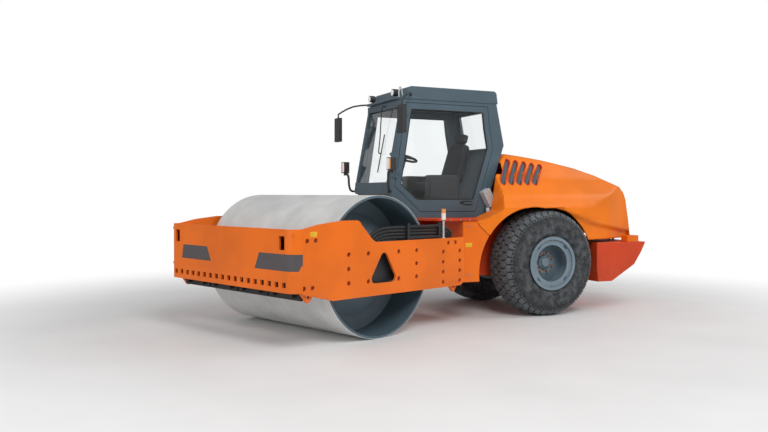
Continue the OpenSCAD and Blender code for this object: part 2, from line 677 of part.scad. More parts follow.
// Headlamps on bent stalks from the cab's front corners
lamp_y = 795;
module headlamps() color("#26292B") rear_frame() both_sides() {
    block([560, lamp_y - 60, 1912], [640, lamp_y + 60, 2068]);
    block([585, lamp_y - 35, 1878], [615, lamp_y + 25, 1913]);
    tube(smooth([[520, cab_half + lie, 1650], [520, 600, 1650], [568, 655, 1665], [588, 676, 1740],
            [592, 682, 1840],
                 [600, 710, 1896], [600, lamp_y - 35 - lie, 1896]], 3), 16, 10, [1, 1, 0]);
}
// Wiper: a bent arm from the top rail and a blade along the glass
function screen_x(z) = pillar_x0 - 30 - (z - screen_z0) * (pillar_x0 - pillar_x1 - 22) / (screen_z1 - screen_z0);
module wiper() color("#1B1D1F") rear_frame() {
    tube(smooth([[pillar_x1 + 20 + lie, 60, screen_z1 + 40], [pillar_x1 + 55, 60, screen_z1 + 40],
            [pillar_x1 + 75, 58, screen_z1 - 60],
                 [screen_x(2350) + 40, 90, 2350], [screen_x(2150) + 45, 148, 2170],
                         [screen_x(2150) + 30, 150, 2150],
                 [screen_x(2150) + 18 + lie, 150, 2150]], 2), 8, 8, [0, 1, 0]);
    tube([[screen_x(2400) + 10 + lie, 150, 2400], [screen_x(1900) + 10 + lie, 150, 1900]], 8, 8);
}

// Doors

door_frame_w = 75;
door_tilt = atan2(door_pts[0].x - door_pts[6].x, door_pts[6].y - door_pts[0].y);
// The hinge line runs up along the door's front edge, just outside the wall
hinge_r = 13;
hinge_out = 16;
hinge_ahead = 4;
hinge_len = 60;
hinge_at = [0.15, 0.85];
module on_hinge(share) {
    p = door_pts[0] + share * (door_pts[6] - door_pts[0]);
    translate([p.x + hinge_ahead, cab_half + hinge_out, p.y]) rotate([0, -door_tilt, 0]) children();
}
module door_hinges() for (h = hinge_at) on_hinge(h) {
    translate([0, 0, lie]) cylinder(r = hinge_r, h = hinge_len);
    translate([-60, -hinge_out - 5, lie]) cube([42, 13, hinge_len]);
    translate([-22, -hinge_out + 0.5, lie]) cube([22, hinge_out - 0.5, hinge_len]);
}
module pillar_hinges() for (h = hinge_at) on_hinge(h) {
    translate([0, 0, -hinge_len]) cylinder(r = hinge_r, h = hinge_len);
    translate([0, -hinge_out - 5, -hinge_len]) cube([50, 13, hinge_len]);
    translate([0, -hinge_out, -hinge_len]) cube([12, hinge_out, hinge_len]);
}
module door(left) color("#526571") rear_frame() side_of(left) union() {
    across(cab_half - wall_t + 5, wall_t - 5) difference() {
        door_outline(door_gap);
        door_outline(door_gap + door_frame_w);
    }
    // lower edge deeper than the sides, with the handle
    across(cab_half - wall_t + 5, wall_t - 5) intersection() {
        door_outline(door_gap + 20);
        polygon([[500, 1745], [115, 1545], [-900, 1545], [-900, 1300], [500, 1300]]);
    }
    block([-690, cab_half - 5, 1490], [-560, cab_half + 25, 1512]);
    door_hinges();
}
module door_glass(left) color("#22303A", 0.5) rear_frame() side_of(left)
        across(cab_half - wall_t / 2, glass_t) difference() {
    door_outline(door_gap + door_frame_w + lie);
    polygon([[500, 1745 + lie], [115, 1545 + lie], [-900, 1545 + lie], [-900, 1300], [500, 1300]]);
}

// Hood

hood_x0 = -1210;
hood_tail = -3280;
hood_z0 = 1000;
// Side view of the hood: x, z
hood_pts = [[hood_x0, 2185], [-1440, 2150], [-1770, 2096], [-2280, 1990], [-2620, 1890], [-2810, 1810],
        [-3000, 1715],
            [-3090, 1650], [-3150, 1550], [-3240, 1220], [hood_tail, hood_z0], [-760, hood_z0],
            seam_pts[2], seam_pts[1], seam_pts[0], [-640, 1300], [-930, 1420], [-960, 1880]];
// What the hood leaves free behind the cab and over the deck: x, z
hood_notch = [[hood_x0 - 5, 2200], [-1100, 1800], [-1040, deck_z + lie], [-300, deck_z + lie], [-300, 2200]];
// Front view of the hood's left half: y, z
hood_half_pts = [[hood_half, 900], [hood_half, 1420], [hood_half - 60, 1600], [hood_top_half + 150, 1850],
                 [hood_top_half + 60, 2060], [hood_top_half, 2140], [hood_top_half - 80, 2185], [0, 2215]];
// Plan of the hood's left half: x, y
hood_plan_pts = [[-400, hood_half], [-2300, hood_half], [-2700, tail_half - 30], [-3000, tail_half - 190],
                 [-3300, tail_half - 300]];
// The other half of an outline: its points flipped by signs, from the last but n on back to the first
function flipped(p, signs, n) = [for (i = [len(p) - n : -1 : 0]) [signs.x * p[i].x, signs.y * p[i].y]];
module hood_solid(inset) difference() {
    intersection() {
        across(-hood_half, 2 * hood_half) offset(delta = -inset) polygon(hood_pts);
        along(-3400, 3100) offset(delta = -inset)
                polygon(concat(hood_half_pts, flipped(hood_half_pts, [-1, 1], 2)));
        translate([0, 0, 900]) linear_extrude(1400) offset(delta = -inset)
            polygon(concat(hood_plan_pts, flipped(hood_plan_pts, [1, -1], 1)));
    }
    across(-deck_mid - 6 - inset, 2 * (deck_mid + 6 + inset)) offset(delta = inset) polygon(hood_notch);
}
// Slanted louvre slots through the hood's shoulders: x and z of the first one's ends
louvre_low = [-1036, 1776];
louvre_high = [-1215, 2062];
louvre_w = 58;
louvre_step = 125;
louvre_drop = 16;
louvre_y = hood_top_half + 10;
module louvre_slots() for (i = [0 : louvre_n - 1])
    translate([-i * louvre_step, 0]) offset(r = louvre_w / 2, $fn = 16)
        polygon([louvre_low, louvre_high - [0, i * louvre_drop], louvre_high + [1, -i * louvre_drop],
                louvre_low + [1, 0]]);
module hood() color("#F08010") rear_frame() union() {
    difference() {
        hood_solid(0);
        hood_solid(hood_t);
        // open below, between the wheels and over the tail
        block([-2420, -deck_mid - 20, 900], [-300, deck_mid + 20, deck_z + lie]);
        block([-3220, -hood_half + 400, hood_z0 - 50], [-2400, hood_half - 400, hood_z0 + 40]);
        both_sides() across(hood_t, hood_half) arch_cut();
        both_sides() across(louvre_y, hood_half) louvre_slots();
    }
    for (s = [-1, 1]) hood_lug(s);
}
// A lug with the outer half of the hinge's barrel
module hood_lug(s) translate([0, s * hinge_y, 0]) {
    block([hinge_x - 12, -lug_half, hinge_z], [hinge_x + 40, lug_half, hood_z0 + 10]);
    rod_y(14, [hinge_x, -lug_half, hinge_z], 2 * lug_half);
}
// The hood's tail: x at a height
function tail_at(z) = -3150 - (1550 - z) * 90 / 330;
grille_z = [1235, 1540];
grille_t = 14;
module hood_grilles() color("#55626C") rear_frame() across(-420, 840)
    polygon([[tail_at(grille_z[1]) - lie * 1.1, grille_z[1]],
            [tail_at(grille_z[0]) - lie * 1.1, grille_z[0]],
             [tail_at(grille_z[0]) - grille_t, grille_z[0]],
                     [tail_at(grille_z[1]) - grille_t, grille_z[1]]]);

// Wheels

rim_half = tyre_w / 2 - 20;
// Ring on the rim's outer face: inner radius, and its place from the tyre's middle
ring_in = 243;
ring_y = rim_half - 14;
hub_pcd = 200;
// Half of the tyre's section: radius, and distance from its middle
tyre_pts = [[tyre_r, tyre_w / 2 - 170], [tyre_r - 18, tyre_w / 2 - 90], [tyre_r - 55, tyre_w / 2 - 40],
            [tyre_r - 130, tyre_w / 2 - 12], [rim_r + 130, tyre_w / 2], [rim_r + 40, tyre_w / 2 - 5],
            [rim_r - 26, tyre_w / 2 - 45]];
module tyre(left) color("#2B2D2E") rear_frame() side_of(left) translate([wheel_x, track_half, wheel_z])
        rotate([-90, 0, 0])
    rotate_extrude($fn = 120) polygon(concat(tyre_pts, flipped(tyre_pts, [1, -1], 1)));
module rim(left) color("#7D8C96") rear_frame() side_of(left) translate([wheel_x, track_half, wheel_z])
        rotate([-90, 0, 0])
    difference() {
        rotate_extrude() polygon([[rim_r - 27, -rim_half], [rim_r, -rim_half], [rim_r, -rim_half - 12],
                [rim_r - 39, -rim_half - 12],
            [rim_r - 39, -30], [150, 20], [hub_axle_r + run, 20], [hub_axle_r + run, 60], [150, 60],
                    [rim_r - 60, 10],
            [rim_r - 39, 10], [rim_r - 39, ring_y - 14], [ring_in, ring_y - 14], [ring_in, ring_y],
                    [rim_r - 39, ring_y],
            [rim_r - 39, rim_half + 12], [rim_r, rim_half + 12], [rim_r, rim_half], [rim_r - 27, rim_half]]);
        // wheel bolts, and the gaps that leave four bridges between the ring and the barrel
        for (a = [0 : 45 : 315]) rotate([0, 0, a]) translate([hub_pcd / 2, 0, 0]) cylinder(r = 11, h = 100);
        for (a = [45 : 90 : 315]) rotate([0, 0, a]) for (b = [-4, 0, 4])
            rotate([0, 0, b]) translate([rim_r - 58, 0, ring_y - 20]) cylinder(r = 13, h = 30);
    }

side_plate(true);  // side_plate_left
side_plate(false);  // side_plate_right
front_beam();
rear_crossmember();
drum_carriers();
scraper_bar();
lashing_eyes();
hoses();
hose_clamps();
marker_post();
drum_shell();
drum_heads();
knuckle();
steer_barrel(true);  // steer_barrel_left
steer_barrel(false);  // steer_barrel_right
steer_rod(true);  // steer_rod_left
steer_rod(false);  // steer_rod_right
chassis_frame();
side_box(true);  // side_box_left
side_box(false);  // side_box_right
deck();
rear_axle();
counterweight();
rear_lamps();
hood_hinges();
engine_block();
air_intake();
cab_frame();
cab_floor();
cab_roof();
windscreen();
rear_window();
seat_piece();  // seat
console();
steering_column();
mirrors();
roof_lights();
headlamps();
wiper();
door(true);  // door_left
door_glass(true);  // door_glass_left
door(false);  // door_right
door_glass(false);  // door_glass_right
hood();
hood_grilles();
tyre(true);  // tyre_left
rim(true);  // rim_left
tyre(false);  // tyre_right
rim(false);  // rim_right
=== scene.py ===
"""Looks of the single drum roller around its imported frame.

Every new piece is a surface worked out with numpy: a grid of two parameters, a profile turned
about an axle, rings stacked into a form, or a ring carried along a path. Places are counted as in
the machine: x forward and y to the left from the steering pivot, z up from the ground, once along
the rear frame and once along the front frame, which stands steered. Lengths are in metres.
"""
import json
import math

import bpy
import numpy as np
from mathutils import Matrix


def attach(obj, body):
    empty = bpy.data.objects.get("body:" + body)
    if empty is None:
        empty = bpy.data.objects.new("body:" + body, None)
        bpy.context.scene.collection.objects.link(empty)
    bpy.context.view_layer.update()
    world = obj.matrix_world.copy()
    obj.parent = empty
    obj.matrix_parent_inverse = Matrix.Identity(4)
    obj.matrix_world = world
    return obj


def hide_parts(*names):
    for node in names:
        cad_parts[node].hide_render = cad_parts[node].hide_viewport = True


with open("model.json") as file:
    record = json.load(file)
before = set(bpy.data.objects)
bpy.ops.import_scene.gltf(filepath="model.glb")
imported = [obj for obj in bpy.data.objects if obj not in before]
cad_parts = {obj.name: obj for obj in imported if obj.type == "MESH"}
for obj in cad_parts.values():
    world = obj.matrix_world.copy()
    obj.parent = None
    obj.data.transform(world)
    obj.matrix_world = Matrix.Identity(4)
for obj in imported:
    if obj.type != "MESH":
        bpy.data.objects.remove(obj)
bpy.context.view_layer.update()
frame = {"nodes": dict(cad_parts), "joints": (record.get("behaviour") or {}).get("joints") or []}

JOINTS = {joint["name"]: joint for joint in frame["joints"]}
PIVOT = np.array([*JOINTS["steer"]["pos_m"][:2], 0.0])
AHEAD_X, LEFT_Y, UP = np.eye(3)
AHEAD = np.array(JOINTS["oscillate"]["axis"])
ASIDE = np.array([-AHEAD[1], AHEAD[0], 0.0])
DRUM = np.array(JOINTS["drum_roll"]["pos_m"])
DRUM_X = float((DRUM - PIVOT) @ AHEAD)
DRUM_RADIUS = 0.8
WHEEL = {side: np.array(JOINTS[f"wheel_{side}_roll"]["pos_m"]) for side in ("left", "right")}
SIDES = {"left": 1.0, "right": -1.0}


def rear(points):
    """Points counted along the rear frame, put into the row's frame."""
    return np.asarray(points, float) + PIVOT


def front(points):
    """Points counted along the steered front frame, put into the row's frame."""
    points = np.asarray(points, float)
    return PIVOT + points[..., :1] * AHEAD + points[..., 1:2] * ASIDE + points[..., 2:] * UP


# Materials

class Wire:
    """A socket of a node tree; arithmetic on it adds Math nodes."""

    def __init__(self, maker, socket):
        self.maker, self.socket = maker, socket

    def math(self, operation, *values):
        return self.maker.add("Math", {"operation": operation}, dict(enumerate(values)))

    def __add__(self, other):
        return self.math("ADD", self, other)

    def __sub__(self, other):
        return self.math("SUBTRACT", self, other)

    def __rsub__(self, other):
        return self.math("SUBTRACT", other, self)

    def __mul__(self, other):
        return self.math("MULTIPLY", self, other)

    def __gt__(self, other):
        return self.math("GREATER_THAN", self, other)

    def __lt__(self, other):
        return self.math("LESS_THAN", self, other)

    __radd__ = __add__
    __rmul__ = __mul__

    def between(self, low, high):
        """1 between two bounds and 0 elsewhere."""
        return (self > low) * (self < high)

    def smooth(self, low, high):
        """0 below low, 1 above high and a smooth step between them."""
        return self.maker.add("MapRange", {"interpolation_type": "SMOOTHSTEP"},
                              {0: self, 1: low, 2: high})

    def sine(self):
        return self.math("SINE", self)

    def hypot(self, other):
        """The root of the sum of both squares."""
        squares = self * self + other * other
        return squares.math("SQRT", squares)


def rgba(value):
    """A colour with its alpha; anything else as it is."""
    return (*value, 1.0) if isinstance(value, tuple) else value


def shaded(colour, share):
    """A colour with every channel times a share."""
    return tuple(share * channel for channel in colour)


class Nodes:
    """The emptied node tree of a material or of the world."""

    def __init__(self, owner):
        owner.use_nodes = True
        self.owner, self.tree = owner, owner.node_tree
        self.tree.nodes.clear()

    def add(self, kind, settings, inputs, output=0):
        """A node with its settings and its inputs, wires or constants; gives one output's wire."""
        node = self.tree.nodes.new("ShaderNode" + kind)
        for key, value in settings.items():
            setattr(node, key, value)
        for key, value in inputs.items():
            if isinstance(value, Wire):
                self.tree.links.new(value.socket, node.inputs[key])
            else:
                node.inputs[key].default_value = value
        return Wire(self, node.outputs[output] if node.outputs else None)


class Finish(Nodes):
    """A procedural material on Object coordinates."""

    def __init__(self, name):
        super().__init__(bpy.data.materials.new(name))
        self.place = self.add("TexCoord", {}, {}, "Object")
        split = self.add("SeparateXYZ", {}, {0: self.place}).socket.node
        self.x, self.y, self.z = (Wire(self, output) for output in split.outputs)

    def noise(self, scale, detail, rough=0.55):
        return self.add("TexNoise", {}, {"Vector": self.place, "Scale": scale, "Detail": detail,
                                         "Roughness": rough})

    def mix(self, share, first, second):
        """Two colours blended: the first at share 0, the second at share 1."""
        inputs = {0: share, 6: rgba(first), 7: rgba(second)}
        return self.add("Mix", {"data_type": "RGBA"}, inputs, 2)

    def along(self, direction, origin):
        """The distance from an origin along a level direction."""
        return ((self.x - float(origin[0])) * float(direction[0])
                + (self.y - float(origin[1])) * float(direction[1]))

    def bump(self, height, strength, distance):
        return self.add("Bump", {}, {"Strength": strength, "Distance": distance, "Height": height})

    def surface(self, **inputs):
        """Principled shader with these sockets; words are joined with underscores."""
        named = {key.replace("_", " ").title().replace("Ior", "IOR"): rgba(value)
                 for key, value in inputs.items()}
        shader = self.add("BsdfPrincipled", {}, named)
        self.add("OutputMaterial", {}, {"Surface": shader})
        return self.owner


ORANGE = (0.9, 0.17, 0.003)
HOOD_ORANGE = (0.92, 0.205, 0.003)
RED = (0.66, 0.06, 0.012)
SLATE = (0.083, 0.125, 0.155)
STEEL_BLUE = (0.2, 0.27, 0.32)
STRIPE = (0.088, 0.078, 0.082)
DUST = (0.33, 0.26, 0.2)
BRIGHT_STEEL, DULL_STEEL, STAIN = (0.86, 0.87, 0.86), (0.6, 0.615, 0.605), (0.27, 0.27, 0.23)
PALE_RUBBER = (0.14, 0.155, 0.165)
BARE_STEM, WHITE_HEAD, ORANGE_CAP = (0.5, 0.53, 0.55), (0.86, 0.8, 0.74), (0.85, 0.3, 0.08)
DUST_HEIGHTS = (0.35, 1.35)
MARKER_HEAD, MARKER_CAP = 1.306, 1.385

# Each bar: side, its inner end at its foot and its top, its outer end likewise, its foot, its top
BARS = ((1, 0.545, 0.626, 1.187, 1.21, 0.832, 1.003),
        (-1, 0.289, 0.371, 0.916, 0.881, 0.854, 1.015))


def machine_paint(name, colour, dust=0.5, marks=None):
    """Satin paint: soft cloudy shade, fine orange-peel, and dust by a smooth step of height times
    one of specks; marks paints over the colour."""
    finish = Finish(name)
    cloud = finish.noise(1.6, 2.0)
    grain = finish.noise(260.0, 2.0)
    speck = finish.noise(38.0, 6.0, rough=0.7)
    base = finish.mix(cloud.smooth(0.35, 0.7), colour, shaded(colour, 0.86))
    if marks:
        base = marks(finish, base)
    low = 1 - finish.z.smooth(*DUST_HEIGHTS)
    dirt = low * speck.smooth(0.45, 0.75) * dust * 0.45
    base = finish.mix(dirt, base, DUST)
    return finish.surface(base_color=base, roughness=0.42 + speck * 0.12 + dirt * 0.3,
                          coat_weight=0.15, coat_roughness=0.25, specular_ior_level=0.25,
                          normal=finish.bump(grain, 0.05, 0.0006))


def stripes(finish, base):
    """Two grey bars on the front sheet with slanted ends, each end a straight line in height."""
    across = finish.along(ASIDE, PIVOT)
    for side, inner_low, inner_high, outer_low, outer_high, low, high in BARS:
        up = (finish.z - low) * (1 / (high - low))
        out = across * side
        inside = ((out > up * (inner_high - inner_low) + inner_low)
                  * (out < up * (outer_high - outer_low) + outer_low))
        base = finish.mix(inside * finish.z.between(low, high), base, STRIPE)
    return base


def drum_steel():
    """Rolled steel, rubbed bright along its turning: fine streaks that run round the drum, and
    paint nearer the axle than its radius, the root of the sum of the squares ahead and up."""
    finish = Finish("drum_steel")
    across = finish.along(ASIDE, PIVOT)
    bands = finish.add("TexNoise", {"noise_dimensions": "1D"},
                       {"W": across, "Scale": 90.0, "Detail": 8.0, "Roughness": 0.7})
    streak = bands * 0.5 + finish.noise(3.0, 6.0) * 0.5
    base = finish.mix(streak.smooth(0.3, 0.72), DULL_STEEL, BRIGHT_STEEL)
    stain = finish.noise(7.0, 8.0, rough=0.7).smooth(0.62, 0.8)
    base = finish.mix(stain * 0.25, base, STAIN)
    radius = finish.along(AHEAD, DRUM).hypot(finish.z - float(DRUM[2]))
    inner = radius < DRUM_RADIUS - 0.004
    base = finish.mix(inner, base, SLATE)
    return finish.surface(base_color=base, metallic=0.3 - inner * 0.3,
                          roughness=0.34 + streak * 0.22, normal=finish.bump(bands, 0.08, 0.0008))


def plain(name, colour, rough, metal=0.0, grain=180.0, bump=0.1, shade=0.8):
    """A moulded or cast finish with a fine grain, clouded a little."""
    finish = Finish(name)
    cloud = finish.noise(5.0, 5.0)
    fine = finish.noise(grain, 3.0)
    base = finish.mix(cloud.smooth(0.3, 0.75), colour, shaded(colour, shade))
    return finish.surface(base_color=base, roughness=rough + (fine - 0.5) * 0.12, metallic=metal,
                          normal=finish.bump(fine, bump, 0.0008))


def tyre_rubber(name, low, high):
    """Rubber clouded with dust between a low and a high shade, with faint rings by a sine of the
    radius and a paler tone on the sidewall."""
    finish = Finish(name)
    radius = (finish.z - float(WHEEL["left"][2])).hypot(finish.x - float(WHEEL["left"][0]))
    dust = finish.noise(11.0, 7.0, rough=0.65)
    base = finish.mix(dust.smooth(0.35, 0.75), low, high)
    rings = (radius * 420.0).sine() * (1 - radius.smooth(0.56, 0.6))
    pale = (1 - radius.smooth(0.5, 0.64)) * dust.smooth(0.35, 0.7) * 0.5
    base = finish.mix(pale, base, PALE_RUBBER)
    fine = finish.noise(160.0, 3.0)
    return finish.surface(base_color=base, roughness=0.72 + dust * 0.16,
                          normal=finish.bump(rings * 0.3 + fine, 0.25, 0.001))


def cab_glass():
    """Clear glass with a faint grey tint."""
    finish = Finish("cab_glass")
    smear = finish.noise(4.0, 3.0)
    return finish.surface(base_color=(0.95, 0.97, 0.97), roughness=0.01 + smear * 0.02,
                          transmission_weight=1.0, ior=1.3)


def lens(name, colour, glow):
    """A lamp lens ribbed by a sine of the height."""
    finish = Finish(name)
    ribs = (finish.z * 700.0).sine()
    paler = tuple(min(1.0, 1.15 * channel + 0.02) for channel in colour)
    base = finish.mix(ribs.smooth(-0.2, 0.9), colour, paler)
    return finish.surface(base_color=base, roughness=0.16, coat_weight=0.8, emission_color=colour,
                          emission_strength=glow, normal=finish.bump(ribs, 0.3, 0.001))


def marker_finish():
    """Bare steel stem with a white head that has an orange cap, by steps of height."""
    finish = Finish("marker")
    fine = finish.noise(160.0, 3.0)
    base = finish.mix(finish.z > MARKER_HEAD, BARE_STEM, WHITE_HEAD)
    base = finish.mix(finish.z > MARKER_CAP, base, ORANGE_CAP)
    return finish.surface(base_color=base, roughness=0.35 + fine * 0.1,
                          normal=finish.bump(fine, 0.05, 0.0006))


PAINT = machine_paint("orange_paint", ORANGE)
MARKER = marker_finish()
FRONT_PAINT = machine_paint("front_paint", ORANGE, marks=stripes)
HOOD_PAINT = machine_paint("hood_paint", HOOD_ORANGE, dust=0.3)
# Red paint; it is also laid on the louvres' walls as painted shade: those walls are hood orange,
# darkened to red where the recess lies in shadow.
RED_PAINT_AND_LOUVRE_SHADE = machine_paint("red_paint", RED)
CAB_PAINT = machine_paint("cab_paint", SLATE, dust=0.25)
RIM_PAINT = machine_paint("rim_paint", STEEL_BLUE, dust=0.3)
DARK = plain("dark_paint", (0.035, 0.042, 0.048), 0.45)
STEEL = drum_steel()
CHROME = plain("rod_chrome", (0.78, 0.79, 0.8), 0.12, 1.0, bump=0.02, shade=0.95)
TYRE = tyre_rubber("tyre_rubber", (0.018, 0.02, 0.023), (0.04, 0.045, 0.05))
TREAD = tyre_rubber("tread_rubber", (0.075, 0.085, 0.093), (0.15, 0.165, 0.175))
RUBBER = plain("black_rubber", (0.014, 0.015, 0.016), 0.55, grain=90.0)
PLASTIC = plain("black_plastic", (0.028, 0.031, 0.034), 0.5, grain=300.0, bump=0.2)
SEAT_CLOTH = plain("seat_cloth", (0.03, 0.032, 0.035), 0.85, grain=700.0, bump=0.5)
SILVER = plain("silver", (0.62, 0.66, 0.68), 0.45, 0.15)
COPPER = plain("nut_copper", (0.62, 0.27, 0.13), 0.35, 0.7)
BOLT = plain("bolt_steel", (0.42, 0.42, 0.41), 0.4, 0.8)
# Red-painted bolts, made dark as painted shade of the deep holes they sit in.
SHADED_RED_BOLT = plain("recess_shaded_bolt", (0.2, 0.012, 0.005), 0.45)
GLASS = cab_glass()
WHITE_LENS = lens("white_lens", (0.86, 0.87, 0.86), 0.15)
AMBER_LENS = lens("amber_lens", (0.95, 0.3, 0.01), 0.35)
YELLOW_LABEL = plain("yellow_label", (0.9, 0.5, 0.015), 0.4)

FINISHES = {
    PAINT: ["side_plate_left", "side_plate_right", "rear_crossmember", "lashing_eyes",
            "side_box_left", "side_box_right", "rear_lamps"],
    FRONT_PAINT: ["front_beam"],
    HOOD_PAINT: ["hood"],
    RED_PAINT_AND_LOUVRE_SHADE: ["chassis_frame", "deck", "counterweight"],
    CAB_PAINT: ["cab_frame", "cab_roof", "door_left", "door_right", "hood_grilles"],
    RIM_PAINT: ["rim_left", "rim_right", "drum_heads"],
    DARK: ["drum_carriers", "knuckle", "rear_axle", "engine_block", "steer_barrel_left",
           "steer_barrel_right", "hood_hinges", "cab_floor"],
    STEEL: ["drum_shell"],
    CHROME: ["steer_rod_left", "steer_rod_right"],
    TYRE: ["tyre_left", "tyre_right"],
    RUBBER: ["hoses", "scraper_bar", "wiper", "hose_clamps"],
    SEAT_CLOTH: ["seat"],
    PLASTIC: ["console", "steering_column", "mirrors", "roof_lights", "headlamps"],
    SILVER: ["air_intake"],
    MARKER: ["marker_post"],
    GLASS: ["windscreen", "rear_window", "door_glass_left", "door_glass_right"],
}
for finish, nodes in FINISHES.items():
    for node in nodes:
        mesh = frame["nodes"][node].data
        mesh.materials.clear()
        mesh.materials.append(finish)


# Shapes: each is a pair of an array of points and a list of faces

def grid(points, wrap_u=False, wrap_v=False):
    """Quads over an array of points in u and v, closed round where a side wraps."""
    nu, nv = points.shape[:2]
    u, v = np.meshgrid(np.arange(nu if wrap_u else nu - 1), np.arange(nv if wrap_v else nv - 1),
                       indexing="ij")
    near, far = (u % nu) * nv, ((u + 1) % nu) * nv
    left, right = v % nv, (v + 1) % nv
    quads = np.stack([near + left, near + right, far + right, far + left], -1).reshape(-1, 4)
    return points.reshape(-1, 3), quads.tolist()


def stacked(rings, foot=False, top=True, turn=1):
    """Rings stacked into walls, with a face over the first and over the last one where asked;
    turn is -1 where the rings run the other way round."""
    points, faces = grid(rings, False, True)
    ring = np.arange(rings.shape[1])
    lids = [ring[::-turn]] * foot + [(ring + len(points) - len(ring))[::turn]] * top
    return points, faces + [lid.tolist() for lid in lids]


def joined(parts):
    """Several shapes as one."""
    points, faces, start = [], [], 0
    for part_points, part_faces in parts:
        points.append(part_points)
        faces += [[index + start for index in face] for face in part_faces]
        start += len(part_points)
    return np.concatenate(points), faces


def circle(first, second, steps, start=0.0):
    """Points of a unit circle in two directions: first cos(t) + second sin(t)."""
    angle = start + np.linspace(0, 2 * np.pi, steps, endpoint=False)
    return np.cos(angle)[:, None] * first + np.sin(angle)[:, None] * second


def rounded(value, power):
    """A sine or cosine raised to a power and given its sign back."""
    return np.sign(value) * np.abs(value) ** power


def squircle(width, height, power, count):
    """Points of a superellipse, |2 x / width|^power + |2 y / height|^power = 1."""
    turn = np.linspace(0, 2 * np.pi, count, endpoint=False)
    return rounded(np.stack([np.cos(turn), np.sin(turn)], -1), 2 / power) * [width / 2, height / 2]


def turned(profile, centre, axle, steps):
    """A closed profile of radius and place along an axle, turned about it."""
    profile = np.asarray(profile, float)[None]
    ring = circle(np.cross(axle, UP), UP, steps)[:, None]
    return grid(centre + profile[..., :1] * ring + profile[..., 1:] * axle, True, True)


def rings_round(path, first, second, radius, sides):
    """A ring at each point of a path in two directions: p + r (first cos(t) + second sin(t))."""
    angle = np.linspace(0, 2 * np.pi, sides, endpoint=False)[None, :, None]
    ring = np.cos(angle) * first[:, None] + np.sin(angle) * second[:, None]
    return path[:, None] + radius * ring


def pipe(path, radius, sides=12):
    """A ring carried along a path, square to it, with its two ends closed."""
    heading = np.gradient(path, axis=0)
    heading /= np.linalg.norm(heading, axis=1)[:, None]
    guide = np.eye(3)[np.argmin(np.abs(heading).sum(0))]
    first = np.cross(heading, guide)
    first /= np.linalg.norm(first, axis=1)[:, None]
    rings = rings_round(path, first, np.cross(heading, first), radius, sides)
    return stacked(rings, foot=True, turn=-1)


def smooth_path(points, count):
    """A smooth curve through a few points, by cubic blends of four neighbours."""
    points = np.asarray(points, float)
    padded = np.concatenate([2 * points[:1] - points[1:2], points, 2 * points[-1:] - points[-2:-1]])
    t = np.linspace(0, len(points) - 1 - 1e-9, count)
    i = t.astype(int)
    t = (t - i)[:, None]
    a, b, c, d = (padded[i + k] for k in range(4))
    return 0.5 * (2 * b + (c - a) * t + (2 * a - 5 * b + 4 * c - d) * t ** 2
                  + (3 * b - a - 3 * c + d) * t ** 3)


# Size and lift of a bolt's rings: the washer's foot and edge, the head's foot, shoulder and top
BOLT_RINGS = ((1.35, 0.0), (1.35, 0.2), (1.0, 0.21), (1.0, 0.85), (0.86, 1.0))


def bolts(places, axis, radius, height, sides=6):
    """Hexagonal heads at many places, all pointing along one level axis: a washer and a chamfered
    head each, as rings p + radius size (cos, sin) + height lift along the axis."""
    ring = circle(np.cross(axis, UP), np.cross(axis, np.cross(axis, UP)), sides)
    points, faces = stacked(np.stack([ring * radius * size + axis * height * lift
                                      for size, lift in BOLT_RINGS]))
    return joined([(points + place, faces) for place in places])


def placed(name, data):
    """A new object with its data, linked to the scene."""
    thing = bpy.data.objects.new(name, data)
    bpy.context.scene.collection.objects.link(thing)
    return thing


def piece(name, shape, finish, body, angle=30.0, thick=0.0):
    """Puts a shape into a smooth mesh, sharp above an angle, that rides on a body."""
    points, faces = shape
    mesh = bpy.data.meshes.new(name)
    mesh.from_pydata(points.tolist(), [], faces)
    mesh.validate()
    mesh.materials.append(finish)
    thing = placed(name, mesh)
    mesh.shade_smooth()
    if angle < 180.0:
        mesh.set_sharp_from_angle(angle=math.radians(angle))
    if thick:
        shell = thing.modifiers.new("thick", "SOLIDIFY")
        shell.thickness, shell.offset = thick, -1.0
    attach(thing, body)
    return thing


# Tyres: a turned carcass with rows of staggered blocks

TREAD_DEPTH, TREAD_HALF, TREAD_FADE = 0.024, 0.262, 0.03
CROWN = np.array([[0.0, 0.705], [0.1175, 0.705], [0.1975, 0.687], [0.2475, 0.650], [0.2755, 0.575],
                  [0.2875, 0.486]])
SIDEWALL = np.array([[0.605, 0.2705], [0.565, 0.2785], [0.525, 0.286], [0.486, 0.2875],
                     [0.44, 0.286], [0.41, 0.2845], [0.396, 0.2825], [0.385, 0.268],
                     [0.36, 0.255], [0.335, 0.2425]])
BLOCK = np.array([[-0.5, 0.333], [0.0, 0.667], [0.5, 0.333], [0.5, -0.333], [0.0, -0.667],
                  [-0.5, -0.333]])
BLOCK_RINGS = ((0.88, -TREAD_DEPTH - 0.004), (0.8, -0.005), (0.73, 0.0))
BLOCK_ROWS, BLOCKS_AROUND = np.linspace(-0.232, 0.232, 6), 42


def crown(across):
    """Radius of the tyre over the tread at a distance from its middle, by its table."""
    return np.interp(np.abs(across), CROWN[:, 0], CROWN[:, 1])


